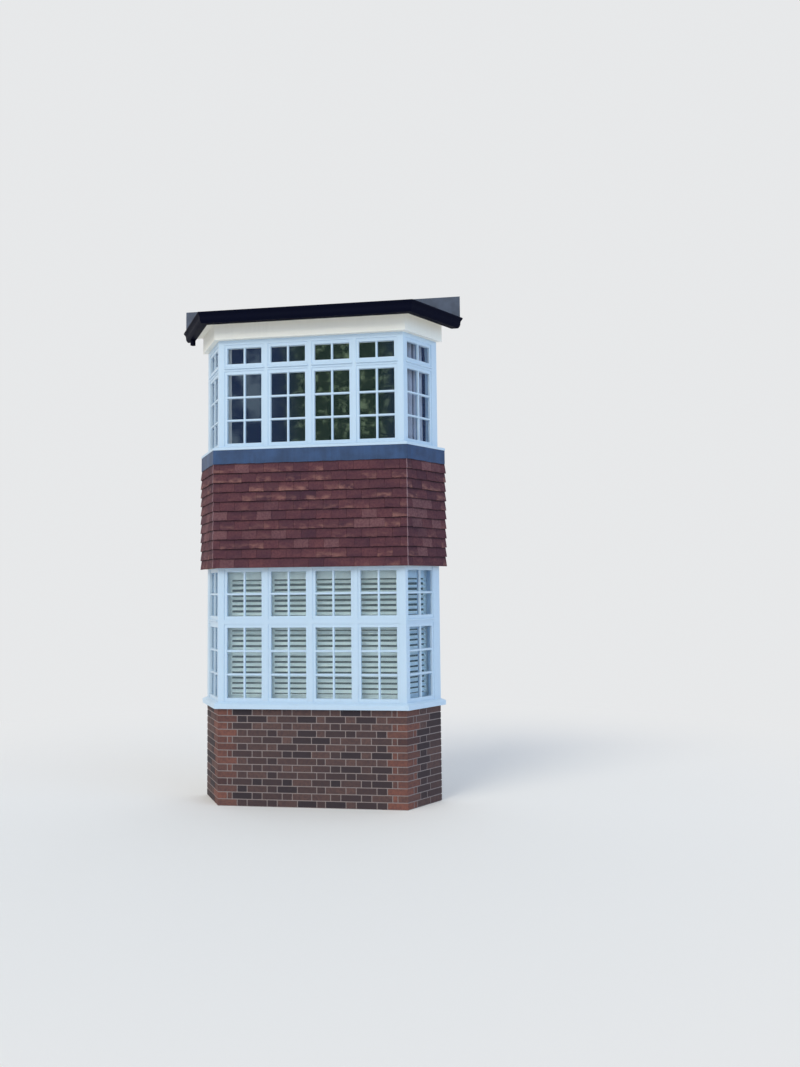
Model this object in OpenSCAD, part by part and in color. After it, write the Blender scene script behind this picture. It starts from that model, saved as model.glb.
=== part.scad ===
// Two-storey canted bay window, cut off at the face of the house wall.
// A brick plinth carries a four-light timber window with louvred shutters, then a
// tile-hung apron, a second four-light window with curtains, and a lead roof with a gutter.
// Millimetres. X runs to the right as seen from the street, Y into the house, Z up.

/* [Plan of the bay] */
// Width of the front frame face between the two corners
front_w = 2100; // [1800:10:2600]
// Width of the bay where its frame meets the wall
wall_w = 2720; // [2400:10:3400]
// Distance the front frame face stands out from the wall
projection = 500; // [450:5:700]
// Depth of the window frames from front to back
frame_d = 95; // [75:1:120]

/* [Brick plinth and ground floor] */
// Height of one brick and its mortar bed
brick_course = 75; // [65:1:80]
// Number of brick courses below the lower sill
plinth_courses = 14; // [10:1:18]
// Thickness of the brick plinth wall
plinth_t = 215; // [200:1:330]
// Height of the ground floor above the outside ground
ground_floor_h = 150; // [75:5:300]

/* [Window frames] */
// Width of the front face of a corner post
corner_post_w = 69; // [50:1:90]
// Width of a mullion between two front lights
mullion_w = 45; // [38:1:70]
// Height of a transom bar
transom_h = 47; // [38:1:70]
// Visible width of a sash stile
stile_w = 30; // [24:1:50]
// Visible height of a sash rail
rail_h = 36; // [28:1:55]
// Visible height of the bottom rail of a lower casement, and of its top rail
lower_rail_h = 40; // [28:1:60]
// Thickness of a sash from front to back
sash_t = 45; // [38:1:57]
// Set-back of a sash behind the frame face
sash_setback = 6; // [0:1:12]
// Thickness of a pane of glass
glass_t = 6; // [4:1:8]
// Depth of the groove that holds a pane on each edge
glass_groove = 9; // [6:1:12]
// Overhang of the drip moulding on a transom
drip_out = 14; // [8:1:20]

/* [Lower window] */
// Height of the lower sill under the frame
lower_sill_h = 72; // [50:1:90]
// Overhang of the lower sill beyond the frame face
lower_sill_out = 49; // [35:1:70]
// Height of the lower casements
lower_casement_h = 850; // [700:5:1000]
// Height of the top lights of the lower window
lower_top_h = 564; // [400:4:700]
// Height of the lower window head
lower_head_h = 67; // [50:1:90]
// Face of a lower corner post on the cant
lower_return_w = 34; // [30:1:60]
// Width of a lower wall post on the cant
lower_wall_post_w = 112; // [80:1:130]
// Visible width of the bead round a lower side top light
bead_w = 14; // [10:1:20]

/* [Louvred shutters] */
// Clear space between the window frame and the shutters
shutter_gap = 8; // [4:1:20]
// Thickness of a shutter frame
shutter_t = 28; // [24:1:36]
// Width of a shutter stile
shutter_stile = 42; // [40:1:60]
// Height of the bottom rail of a shutter
shutter_bottom_rail = 115; // [80:1:140]
// Height of the middle rail of a shutter
shutter_mid_rail = 145; // [80:1:160]
// Louvres below the middle rail
louvres_low = 12; // [8:1:14]
// Louvres above the middle rail
louvres_high = 7; // [5:1:8]
// Spacing of the louvres
louvre_pitch = 58; // [54:1:66]
// Width of one louvre blade
louvre_w = 63; // [50:0.5:66]
// Width of the bevel along each edge of a blade
louvre_bevel = 9; // [4:0.5:12]
// Thickness of one louvre blade
louvre_t = 9; // [6:0.5:11]
// Tilt of the louvres, with the outer edge down
louvre_tilt = 30; // [15:1:60]

/* [Tile-hung apron] */
// Visible height of one tile course
tile_gauge = 105; // [90:1:115]
// Number of tile courses
tile_courses = 11; // [8:1:12]
// Overhang of the tile tails beyond the frame face
tile_out = 78; // [70:1:95]
// Step from one course of tiles to the next
tile_step = 14; // [8:1:18]
// Overhang of the wall studs beyond the frame face
stud_out = 18; // [10:1:25]
// Thickness of a tile batten
batten_t = 25; // [19:1:32]
// Height of a tile batten
batten_h = 38; // [32:1:50]

/* [Storey heights] */
// How far the lower ceiling hangs below the top of the window head
ceiling_drop = 10; // [0:1:40]
// Depth of the upper floor joists
joist_h = 200; // [150:5:225]
// Thickness of the upper floorboards
floorboard_t = 22; // [18:1:28]
// Thickness of the plaster ceilings and linings
lining_t = 12.5; // [9.5:0.5:20]
// Width of a timber stud or joist
stud_w = 50; // [38:1:75]
// Number of studs in the front of the apron
front_studs = 6; // [4:1:8]
// Spacing of the floor and roof joists
joist_pitch = 400; // [300:5:450]
// Width of the studs against the wall
wall_stud_w = 90; // [50:1:110]

/* [Upper window] */
// Height of the lead band below the upper sill
lead_band_h = 155; // [100:1:180]
// Thickness of the lead sheet
lead_t = 3; // [2:0.2:4]
// Height of the upper sill under the frame
upper_sill_h = 47; // [40:1:80]
// Overhang of the upper sill beyond the frame face
upper_sill_out = 72; // [70:1:90]
// Height of the upper casements
upper_casement_h = 853; // [700:1:1000]
// Height of the fanlights
fanlight_h = 254; // [200:1:400]
// Height of the upper window head
upper_head_h = 72; // [50:1:90]
// Face of an upper corner post on the cant
upper_return_w = 45; // [35:1:60]
// Width of an upper wall post on the cant
upper_wall_post_w = 95; // [80:1:120]

/* [Curtains] */
// Thickness of the gathered curtains
curtain_t = 46; // [40:1:80]
// Clear space between the window frame and the curtains
curtain_gap = 5; // [3:1:60]
// Length of curtain that turns the corner behind the front light
curtain_return = 55; // [40:5:200]

/* [Eaves and roof] */
// Overhang of the white fascia beyond the frame face
fascia_out = 55; // [35:1:80]
// Height of the white fascia
fascia_h = 190; // [140:1:220]
// Overhang of the soffit, where the gutter starts
soffit_out = 150; // [120:1:200]
// Thickness of the soffit board
soffit_t = 12; // [9:1:20]
// Thickness of the roof edge above the soffit
roof_edge_t = 66; // [50:1:90]
// Rise of the roof from its edge to the wall
roof_rise = 100; // [40:5:150]
// Height of the lead flashing above the roof at the wall
flashing_h = 146; // [100:1:180]
// Width of the gutter from back to front
gutter_w = 112; // [100:1:130]
// Height of the gutter
gutter_h = 119; // [90:1:130]
// Width of the moulded front of the gutter
gutter_mould_w = 45; // [30:1:48]
// Thickness of the gutter metal
gutter_t = 4; // [3:0.5:6]
// Diameter of the gutter outlet
outlet_d = 60; // [50:1:64]
// Length of the gutter outlet below the gutter
outlet_len = 60; // [40:1:90]

/* [Hidden] */
// Clearance between pieces that are fitted into each other
fit = 0.3;
half_front = front_w / 2;
half_wall = wall_w / 2;
cant_run = half_wall - half_front;
cant_len = sqrt(cant_run * cant_run + projection * projection);
cant_angle = atan2(projection, cant_run);
corner_shift = tan(cant_angle / 2);
wall_shift = 1 / sin(cant_angle);
eaves_out = soffit_out + gutter_w;
// The origin is on the ground at the middle of the outline
origin_shift = (projection + eaves_out) / 2;
// Overlap inside one piece, and how far a cutting block passes what it cuts
eps = 0.01;
cut = 2;

// Heights, from the ground up
plinth_h = brick_course * plinth_courses;
lower_post_z = plinth_h + lower_sill_h;
lower_transom_z = lower_post_z + lower_casement_h;
lower_top_z = lower_transom_z + transom_h;
lower_head_z = lower_top_z + lower_top_h;
studwork_z = lower_head_z + lower_head_h;
lower_ceiling_z = studwork_z - ceiling_drop;
board_z = lower_ceiling_z + lining_t + joist_h;
upper_floor_z = board_z + floorboard_t;
head_reveal = 5;
tile_z = lower_head_z + head_reveal;
tile_top_z = tile_z + tile_gauge * tile_courses;
stud_top_z = tile_top_z + lead_band_h - lead_t;
upper_sill_z = stud_top_z + lead_t;
upper_post_z = upper_sill_z + upper_sill_h;
upper_transom_z = upper_post_z + upper_casement_h;
upper_top_z = upper_transom_z + transom_h;
upper_head_z = upper_top_z + fanlight_h;
eaves_beam_z = upper_head_z + upper_head_h;
fascia_lap = 20;
fascia_z = eaves_beam_z - fascia_lap;
soffit_z = fascia_z + fascia_h;
roof_z = soffit_z + soffit_t;
roof_edge_z = roof_z + roof_edge_t;
gutter_drop = 2;
gutter_z = roof_edge_z - gutter_h - gutter_drop;
upper_ceiling_rise = 20;
upper_ceiling_z = eaves_beam_z + upper_ceiling_rise;

// Sills, window boards and mouldings
board_t = 32;
upper_board_t = 25;
board_nosing = 25;
upper_nosing = 60;
board_round = 6;
sill_fall = 18;
sill_round = 6;
groove_in = 20;
groove_w = 8;
groove_h = 7;
drip_h = 20;
drip_nose_h = 10;

// Tiles, battens and lead
tile_lap = 60;
tile_lean = 5;
batten_rise = 80;
lead_clear = 1;
lead_face = tile_out - tile_step + lead_clear;
lead_tuck = 20;
roof_drip = 8;
lead_low = 10;
flashing_foot = 120;
flashing_end_gap = 30;
roof_fall = roof_rise / (projection + soffit_out);

// Curtains and their rail
rail_t = 24;
rail_w = 26;
curtain_before_rail = 10;
curtain_wall_gap = 8;
curtain_face = frame_d + curtain_gap;
rail_face = curtain_face + curtain_before_rail;
curtain_top_z = upper_ceiling_z - rail_t;
curtain_foot_gap = 12;
curtain_foot_z = stud_top_z + upper_board_t + curtain_foot_gap;

// Widths of the lights
front_light = (front_w - 2 * corner_post_w - 3 * mullion_w) / 4;
lower_side_light = cant_len - lower_return_w - lower_wall_post_w;
upper_side_light = cant_len - upper_return_w - upper_wall_post_w;

// Shutters
shutter_joint = 2;
shutter_wall_gap = 6;
louvre_margin = 4;
shutter_back = frame_d + shutter_gap;
shutter_z = plinth_h + board_t + fit;
shutter_h = lower_ceiling_z - fit - shutter_z;
shutter_half = half_front - (shutter_back + shutter_t) * corner_shift - shutter_joint;
shutter_front_w = shutter_half / 2;
shutter_side_x = (shutter_back + shutter_t) * corner_shift + shutter_joint;
shutter_wall_x = (projection - (shutter_back + shutter_t) * cos(cant_angle)) / sin(cant_angle);
shutter_side_w = shutter_wall_x - shutter_wall_gap - shutter_side_x;
louvre_low_z = shutter_z + shutter_bottom_rail;
shutter_mid_z = louvre_low_z + louvres_low * louvre_pitch + 2 * louvre_margin;
louvre_high_z = shutter_mid_z + shutter_mid_rail;
shutter_top_z = louvre_high_z + louvres_high * louvre_pitch + 2 * louvre_margin;

white = [0.93, 0.94, 0.95];
timber = [0.72, 0.58, 0.42];
brick = [0.46, 0.30, 0.25];
tile_red = [0.42, 0.20, 0.17];
lead_grey = [0.36, 0.42, 0.50];
black = [0.05, 0.06, 0.10];
plaster = [0.88, 0.87, 0.84];
glass_blue = [0.55, 0.65, 0.70, 0.35];
cloth = [0.72, 0.69, 0.74];
cream = [0.90, 0.89, 0.83];

// Places on the plan: 0 left end at the wall, 1 left corner, 2 right corner, 3 right end,
// each for a line that runs "out" beyond the frame face and may pass the wall by "past"
function wall_end(out, past) = half_wall + out * wall_shift + past / tan(cant_angle);
function station(i, out, past = 0) = i == 0 ? [-wall_end(out, past), past]
  : i == 1 ? [-half_front - out * corner_shift, -projection - out]
  : i == 2 ? [half_front + out * corner_shift, -projection - out]
  : [wall_end(out, past), past];

// A moulding of the given section [out, height] mitred round the bay. A thin section runs
// out along one face and back along the other, with as many points on each
module run(section, first = 0, last = 3, past = 0, thin = false) {
  n = len(section);
  m = last - first;
  places = [for (i = [first:last], q = section)
    [station(i, q[0], past)[0], station(i, q[0], past)[1], q[1]]];
  rings = thin
    ? [for (j = [0:n / 2 - 2]) [j, j + 1, n - 2 - j, n - 1 - j]]
    : [[for (j = [0:n - 1]) j]];
  start_cap = [for (ring = rings) [for (j = [len(ring) - 1:-1:0]) ring[j]]];
  end_cap = [for (ring = rings) [for (j = ring) m * n + j]];
  sides = [for (i = [0:m - 1], j = [0:n - 1])
    [i * n + j, i * n + (j + 1) % n, (i + 1) * n + (j + 1) % n, (i + 1) * n + j]];
  polyhedron(places, concat(start_cap, end_cap, sides), convexity = 10);
}

// A plain band between two distances from the frame face
module band(inner, outer, z, h, first = 0, last = 3) {
  run([[inner, z], [outer, z], [outer, z + h], [inner, z + h]], first, last);
}

// A level plate from the wall out to the given distance from the frame face
module plate(out, z, h) {
  translate([0, 0, z])
    linear_extrude(height = h)
      polygon([for (i = [0:3]) station(i, out)]);
}

// Children are drawn with X along the light, Y inwards from the frame face
module at_front() {
  translate([0, -projection, 0])
    children();
}

module at_right_side() {
  translate([half_front, -projection, 0])
    rotate([0, 0, cant_angle])
      children();
}

module at_both_sides() {
  at_right_side()
    children();
  mirror([1, 0, 0])
    at_right_side()
      children();
}

// Left edge of each front light
function light_x(i) = -half_front + corner_post_w + i * (front_light + mullion_w);

// A glazed sash frame with a groove for its pane
module sash(x, z, w, h, stile, rail) {
  open_w = w - 2 * fit - 2 * stile;
  open_h = h - 2 * fit - 2 * rail;
  translate([x + fit, sash_setback, z + fit])
    difference() {
      cube([w - 2 * fit, sash_t, h - 2 * fit]);
      translate([stile, -cut, rail])
        cube([open_w, sash_t + 2 * cut, open_h]);
      translate([stile - glass_groove, (sash_t - glass_t) / 2, rail - glass_groove])
        cube([open_w + 2 * glass_groove, glass_t, open_h + 2 * glass_groove]);
    }
}

// The pane that fills the groove of the same sash
module pane(x, z, w, h, stile, rail) {
  side = stile - glass_groove + 2 * fit;
  foot = rail - glass_groove + 2 * fit;
  translate([x + side, sash_setback + (sash_t - glass_t) / 2 + fit / 4, z + foot])
    cube([w - 2 * side, glass_t - fit / 2, h - 2 * foot]);
}

// A transom bar between two posts, with or without its drip moulding
module transom(x, z, w, with_drip) {
  translate([x, 0, z])
    cube([w, frame_d, transom_h]);
  if (with_drip)
    translate([x, 0, z + transom_h - drip_h - cut])
      rotate([90, 0, 90])
        linear_extrude(height = w)
          polygon([[0, 0], [-drip_out, cut], [-drip_out, cut + drip_nose_h], [0, drip_h]]);
}

// The two corner posts and two wall posts of one storey
module posts(z, h, return_w, wall_post_w) {
  inner = station(2, -frame_d);
  for (side = [0, 1])
    mirror([side, 0, 0])
      translate([0, 0, z])
        linear_extrude(height = h)
          polygon([
            [half_front - corner_post_w, -projection],
            [half_front, -projection],
            [half_front + return_w * cos(cant_angle), -projection + return_w * sin(cant_angle)],
            [half_front + return_w * cos(cant_angle) - frame_d * sin(cant_angle),
              -projection + return_w * sin(cant_angle) + frame_d * cos(cant_angle)],
            [min(inner[0], half_front - corner_post_w / 2), -projection + frame_d],
            [half_front - corner_post_w, -projection + frame_d]]);
  at_both_sides()
    translate([0, 0, z])
      linear_extrude(height = h)
        polygon([
          [cant_len - wall_post_w, 0],
          [cant_len, 0],
          [(projection - frame_d * cos(cant_angle)) / sin(cant_angle), frame_d],
          [cant_len - wall_post_w, frame_d]]);
}

module mullions(z, h) {
  at_front()
    for (i = [1:3])
      translate([light_x(i) - mullion_w, 0, z])
        cube([mullion_w, frame_d, h]);
}

// Ground storey

module plinth_wall() {
  color(brick)
    band(-plinth_t, 0, 0, plinth_h);
}

module ground_floor() {
  color([0.6, 0.6, 0.58])
    plate(-plinth_t, 0, ground_floor_h);
}

// A sloping sill with a rounded nose
module sill(z, h, out) {
  nose = z + h - sill_fall;
  run([
    [-frame_d, z],
    [out - sill_round / 2, z],
    [out, z + sill_round / 2],
    [out, nose - sill_round],
    [out - sill_round, nose],
    [0, z + h],
    [-frame_d, z + h]]);
}

// The drip groove under the lower sill keeps rain off the brickwork
module lower_sill() {
  color(white)
    difference() {
      sill(plinth_h, lower_sill_h, lower_sill_out);
      run([
        [lower_sill_out - groove_in, plinth_h - cut],
        [lower_sill_out - groove_in + groove_w, plinth_h - cut],
        [lower_sill_out - groove_in + groove_w, plinth_h + groove_h],
        [lower_sill_out - groove_in, plinth_h + groove_h]], past = cut);
    }
}

module lower_posts() {
  h = lower_head_z - lower_post_z;
  color(white) {
    posts(lower_post_z, h, lower_return_w, lower_wall_post_w);
    mullions(lower_post_z, h);
  }
}

module lower_transoms() {
  color(white) {
    at_front()
      for (i = [0:3])
        transom(light_x(i), lower_transom_z, front_light, false);
    at_both_sides()
      transom(lower_return_w, lower_transom_z, lower_side_light, true);
  }
}

module lower_head() {
  color(white)
    band(-frame_d, 0, lower_head_z, lower_head_h);
}

module lower_front_sashes() {
  color(white)
    at_front()
      for (i = [0:3]) {
        sash(light_x(i), lower_post_z, front_light, lower_casement_h, stile_w, lower_rail_h);
        sash(light_x(i), lower_top_z, front_light, lower_top_h, stile_w, rail_h);
      }
}

module lower_side_sashes() {
  color(white)
    at_both_sides() {
      sash(lower_return_w, lower_post_z, lower_side_light, lower_casement_h, stile_w, lower_rail_h);
      sash(lower_return_w, lower_top_z, lower_side_light, lower_top_h, bead_w, rail_h);
    }
}

module lower_front_glass() {
  color(glass_blue)
    at_front()
      for (i = [0:3]) {
        pane(light_x(i), lower_post_z, front_light, lower_casement_h, stile_w, lower_rail_h);
        pane(light_x(i), lower_top_z, front_light, lower_top_h, stile_w, rail_h);
      }
}

module lower_side_glass() {
  color(glass_blue)
    at_both_sides() {
      pane(lower_return_w, lower_post_z, lower_side_light, lower_casement_h, stile_w, lower_rail_h);
      pane(lower_return_w, lower_top_z, lower_side_light, lower_top_h, bead_w, rail_h);
    }
}

// An inner window board with a rounded nose, from the frame back into the room
module window_board(nose, z, t) {
  run([
    [nose + board_round, z],
    [-frame_d, z],
    [-frame_d, z + t],
    [nose + board_round, z + t],
    [nose, z + t - board_round],
    [nose, z + board_round]]);
}

module lower_window_board() {
  color(white)
    window_board(-plinth_t - board_nosing, plinth_h, board_t);
}

// Left edge of each front shutter
function shutter_x(i) = -shutter_half + i * shutter_front_w + shutter_joint / 2;

// One shutter frame with openings for its lower and upper louvres
module shutter_frame(x, w) {
  inside = w - 2 * shutter_stile;
  translate([x, shutter_back, 0])
    difference() {
      translate([0, 0, shutter_z])
        cube([w, shutter_t, shutter_h]);
      translate([shutter_stile, -cut, louvre_low_z])
        cube([inside, shutter_t + 2 * cut, shutter_mid_z - louvre_low_z]);
      translate([shutter_stile, -cut, louvre_high_z])
        cube([inside, shutter_t + 2 * cut, shutter_top_z - louvre_high_z]);
    }
}

// One blade, bevelled at both edges and tilted about its middle
module louvre_blade(x, w, z) {
  half = louvre_w / 2;
  edge = louvre_t / 2;
  translate([x + shutter_stile, shutter_back + shutter_t / 2, z])
    rotate([louvre_tilt, 0, 0])
      rotate([90, 0, 90])
        linear_extrude(height = w - 2 * shutter_stile)
          polygon([
            [-half, 0],
            [-half + louvre_bevel, -edge],
            [half - louvre_bevel, -edge],
            [half, 0],
            [half - louvre_bevel, edge],
            [-half + louvre_bevel, edge]]);
}

module louvre_stack(x, w) {
  for (k = [0:louvres_low - 1])
    louvre_blade(x, w, louvre_low_z + louvre_margin + (k + 0.5) * louvre_pitch);
  for (k = [0:louvres_high - 1])
    louvre_blade(x, w, louvre_high_z + louvre_margin + (k + 0.5) * louvre_pitch);
}

module shutter_frames() {
  color(cream) {
    at_front()
      for (i = [0:3])
        shutter_frame(shutter_x(i), shutter_front_w - shutter_joint);
    at_both_sides()
      shutter_frame(shutter_side_x, shutter_side_w);
  }
}

module shutter_louvres() {
  color(cream) {
    at_front()
      for (i = [0:3])
        louvre_stack(shutter_x(i), shutter_front_w - shutter_joint);
    at_both_sides()
      louvre_stack(shutter_side_x, shutter_side_w);
  }
}

// Floor and tile-hung apron between the storeys

module lower_ceiling() {
  color(plaster)
    plate(-frame_d, lower_ceiling_z, lining_t);
}

// Joists from the wall out to the frame, as many as the ceiling has room for
module joists(z, h) {
  deep = projection - frame_d;
  n = floor((half_front - frame_d * corner_shift - stud_w / 2) / joist_pitch);
  for (i = [-n:n])
    translate([i * joist_pitch - stud_w / 2, -deep, z])
      cube([stud_w, deep, h]);
}

module floor_joists() {
  color(timber)
    joists(lower_ceiling_z + lining_t, joist_h);
}

module upper_floor() {
  color(timber)
    plate(-frame_d, board_z, floorboard_t);
}

// Studs between a bottom and a top plate: spaced along the front, in from each corner and
// against the wall on the slanted sides
module apron_studwork() {
  h = stud_top_z - studwork_z;
  deep = frame_d + stud_out;
  reach = half_front - stud_w;
  corner_gap = 2 * stud_w + lining_t;
  side_room = cant_len - wall_stud_w - corner_gap;
  color(timber) {
    band(-frame_d, stud_out, studwork_z, stud_w);
    band(-frame_d, stud_out, stud_top_z - stud_w, stud_w);
    at_front()
      for (i = [0:front_studs - 1])
        translate([-reach + i * 2 * reach / (front_studs - 1) - stud_w / 2, -stud_out, studwork_z + eps])
          cube([stud_w, deep, h - 2 * eps]);
    at_both_sides()
      for (i = [0, 1])
        translate([corner_gap + i * side_room / 2, -stud_out, studwork_z + eps])
          cube([stud_w, deep, h - 2 * eps]);
    at_both_sides()
      translate([0, 0, studwork_z + eps])
        linear_extrude(height = h - 2 * eps)
          polygon([
            [cant_len - wall_stud_w, -stud_out],
            [(projection + stud_out * cos(cant_angle)) / sin(cant_angle), -stud_out],
            [(projection - frame_d * cos(cant_angle)) / sin(cant_angle), frame_d],
            [cant_len - wall_stud_w, frame_d]]);
  }
}

module apron_lining() {
  color(plaster)
    band(-frame_d - lining_t, -frame_d, upper_floor_z, stud_top_z - upper_floor_z);
}

// One batten under each course, and the board that backs the lead band above them
module tile_battens() {
  board_foot = tile_top_z + tile_lap + cut;
  color(timber) {
    for (k = [0:tile_courses - 1])
      band(stud_out, stud_out + batten_t, tile_z + batten_rise + k * tile_gauge, batten_h);
    band(stud_out, lead_face - fit, board_foot, stud_top_z - board_foot);
  }
}

// The hung tiles: each course steps out over the one below, and the last goes under the lead
module hung_tiles(first, last) {
  back = stud_out + batten_t;
  head = tile_out - tile_step;
  color(tile_red) {
    for (k = [0:tile_courses - 1])
      run([
        [back, tile_z + k * tile_gauge],
        [tile_out, tile_z + k * tile_gauge],
        [head, tile_z + (k + 1) * tile_gauge],
        [back, tile_z + (k + 1) * tile_gauge]], first, last);
    run([
      [back, tile_top_z],
      [head, tile_top_z],
      [head - tile_lean, tile_top_z + tile_lap],
      [back, tile_top_z + tile_lap]], first, last);
  }
}

module tiles_left() {
  hung_tiles(0, 1);
}

module tiles_front() {
  hung_tiles(1, 2);
}

module tiles_right() {
  hung_tiles(2, 3);
}

// Upper storey

module lead_apron() {
  color(lead_grey)
    run([
      [lead_face + lead_t, tile_top_z],
      [lead_face + lead_t, stud_top_z + lead_t],
      [-frame_d + lead_tuck, stud_top_z + lead_t],
      [-frame_d + lead_tuck, stud_top_z],
      [lead_face, stud_top_z],
      [lead_face, tile_top_z]], thin = true);
}

module upper_sill() {
  color(white)
    sill(upper_sill_z, upper_sill_h, upper_sill_out);
}

module upper_posts() {
  h = upper_head_z - upper_post_z;
  color(white) {
    posts(upper_post_z, h, upper_return_w, upper_wall_post_w);
    mullions(upper_post_z, h);
  }
}

module upper_transoms() {
  color(white) {
    at_front()
      for (i = [0:3])
        transom(light_x(i), upper_transom_z, front_light, true);
    at_both_sides()
      transom(upper_return_w, upper_transom_z, upper_side_light, true);
  }
}

module upper_head() {
  color(white)
    band(-frame_d, 0, upper_head_z, upper_head_h);
}

module upper_front_sashes() {
  color(white)
    at_front()
      for (i = [0:3]) {
        sash(light_x(i), upper_post_z, front_light, upper_casement_h, stile_w, rail_h);
        sash(light_x(i), upper_top_z, front_light, fanlight_h, stile_w, rail_h);
      }
}

module upper_side_sashes() {
  color(white)
    at_both_sides() {
      sash(upper_return_w, upper_post_z, upper_side_light, upper_casement_h, stile_w, rail_h);
      sash(upper_return_w, upper_top_z, upper_side_light, fanlight_h, stile_w, rail_h);
    }
}

module upper_front_glass() {
  color(glass_blue)
    at_front()
      for (i = [0:3]) {
        pane(light_x(i), upper_post_z, front_light, upper_casement_h, stile_w, rail_h);
        pane(light_x(i), upper_top_z, front_light, fanlight_h, stile_w, rail_h);
      }
}

module upper_side_glass() {
  color(glass_blue)
    at_both_sides() {
      pane(upper_return_w, upper_post_z, upper_side_light, upper_casement_h, stile_w, rail_h);
      pane(upper_return_w, upper_top_z, upper_side_light, fanlight_h, stile_w, rail_h);
    }
}

module upper_window_board() {
  color(white)
    window_board(-frame_d - upper_nosing, stud_top_z, upper_board_t);
}

module curtain_rail() {
  color(white)
    band(-rail_face - rail_w, -rail_face, curtain_top_z, rail_t);
}

// A closed block the size of a gathered curtain on the right side of the bay
module curtain_block() {
  near = -curtain_face;
  far = near - curtain_t;
  inner_end = station(2, near)[0] - curtain_return;
  translate([0, 0, curtain_foot_z])
    linear_extrude(height = curtain_top_z - curtain_foot_z)
      polygon([
        [inner_end, -projection - near],
        station(2, near),
        station(3, near, -curtain_wall_gap),
        station(3, far, -curtain_wall_gap),
        station(2, far),
        [inner_end, -projection - far]]);
}

module curtain_right() {
  color(cloth)
    curtain_block();
}

module curtain_left() {
  color(cloth)
    mirror([1, 0, 0])
      curtain_block();
}

// Eaves and roof

module eaves_beam() {
  color(timber)
    band(-frame_d, 0, eaves_beam_z, roof_z - eaves_beam_z);
}

module fascia() {
  color(cream)
    band(fit, fascia_out, fascia_z, fascia_h);
}

module soffit() {
  color(white)
    band(0, soffit_out, soffit_z, soffit_t);
}

module upper_ceiling() {
  color(plaster)
    plate(-frame_d, upper_ceiling_z, lining_t);
}

module roof_joists() {
  z = upper_ceiling_z + lining_t;
  color(timber)
    joists(z, roof_z - z);
}

// A low hipped block: level below, rising from the three eaves to the wall
module hipped(out, z, h, rise) {
  run_in = projection + out;
  ridge = station(3, out)[0] - run_in * wall_shift;
  low = [for (i = [0:3]) [station(i, out)[0], station(i, out)[1], z]];
  edge = [for (i = [0:3]) [station(i, out)[0], station(i, out)[1], z + h]];
  top = [[-ridge, 0, z + h + rise], [ridge, 0, z + h + rise]];
  polyhedron(concat(low, edge, top), [
    [0, 1, 2, 3],
    [0, 4, 5, 1],
    [1, 5, 6, 2],
    [2, 6, 7, 3],
    [3, 7, 9, 8, 4, 0],
    [4, 8, 5],
    [5, 8, 9, 6],
    [6, 9, 7]], convexity = 4);
}

module roof_deck() {
  color(timber)
    hipped(soffit_out, roof_z, roof_edge_t, roof_rise);
}

// A block whose top lies "up" above the roof boards and reaches the drip edge of the lead,
// from "low" below the roof edge
module over_roof(low, up) {
  out = soffit_out + roof_drip;
  foot = roof_edge_z - low;
  edge = roof_edge_z - roof_drip * roof_fall + up;
  hipped(out, foot, edge - foot, roof_fall * (projection + out));
}

module roof_lead() {
  color(lead_grey)
    difference() {
      over_roof(lead_low, lead_t);
      over_roof(lead_low + cut, 0);
    }
}

// The ogee front of the gutter from the bottom up: a slope that swells out and then in
ogee_steps = 10;
ogee_swell = 0.15;
gutter_flat = gutter_w - gutter_mould_w;
gutter_lip = 14;
function ogee(k) = [
  soffit_out + gutter_flat + gutter_mould_w * (k + ogee_swell * sin(360 * k)),
  gutter_z + (gutter_h - gutter_lip) * k];

// That front drawn in by "inset", up to the top of the lip
function gutter_front(inset, top) = concat(
  [for (k = [0:ogee_steps]) ogee(k / ogee_steps) + [-inset, k == 0 ? inset : inset / 2]],
  [[soffit_out + gutter_w - inset, top]]);

// The line of the gutter from its back edge round to its front edge, drawn in by "inset"
function gutter_line(inset, top) = concat(
  [[soffit_out + inset, top], [soffit_out + inset, gutter_z + inset]],
  gutter_front(inset, top));

module gutter_body() {
  top = gutter_z + gutter_h;
  inner = gutter_line(gutter_t, top);
  run(concat(gutter_line(0, top), [for (j = [len(inner) - 1:-1:0]) inner[j]]), thin = true);
}

// The outlet hangs below the left end of the gutter
module at_outlet() {
  mirror([1, 0, 0])
    at_right_side()
      translate([cant_len, -(soffit_out + gutter_flat / 2), gutter_z])
        children();
}

module gutter() {
  color(black)
    difference() {
      union() {
        gutter_body();
        at_outlet()
          translate([0, 0, -outlet_len])
            cylinder(d = outlet_d, h = outlet_len + cut, $fn = 32);
      }
      at_outlet()
        translate([0, 0, -outlet_len - cut])
          cylinder(d = outlet_d - 2 * gutter_t, h = outlet_len + gutter_t + 2 * cut, $fn = 32);
    }
}

// A plate that closes the right end of the gutter against the wall
module stop_end() {
  inset = gutter_t + fit;
  front = gutter_front(inset, gutter_z + gutter_h - cut);
  back = [for (j = [len(front) - 1:-1:0]) [soffit_out + inset, front[j][1]]];
  intersection() {
    run(concat(front, back), 2, 3, past = cut, thin = true);
    translate([0, -gutter_t, 0])
      cube([wall_w, gutter_t, roof_z + roof_rise]);
  }
}

module gutter_stop_ends() {
  color(black) {
    stop_end();
    mirror([1, 0, 0])
      stop_end();
  }
}

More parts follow.
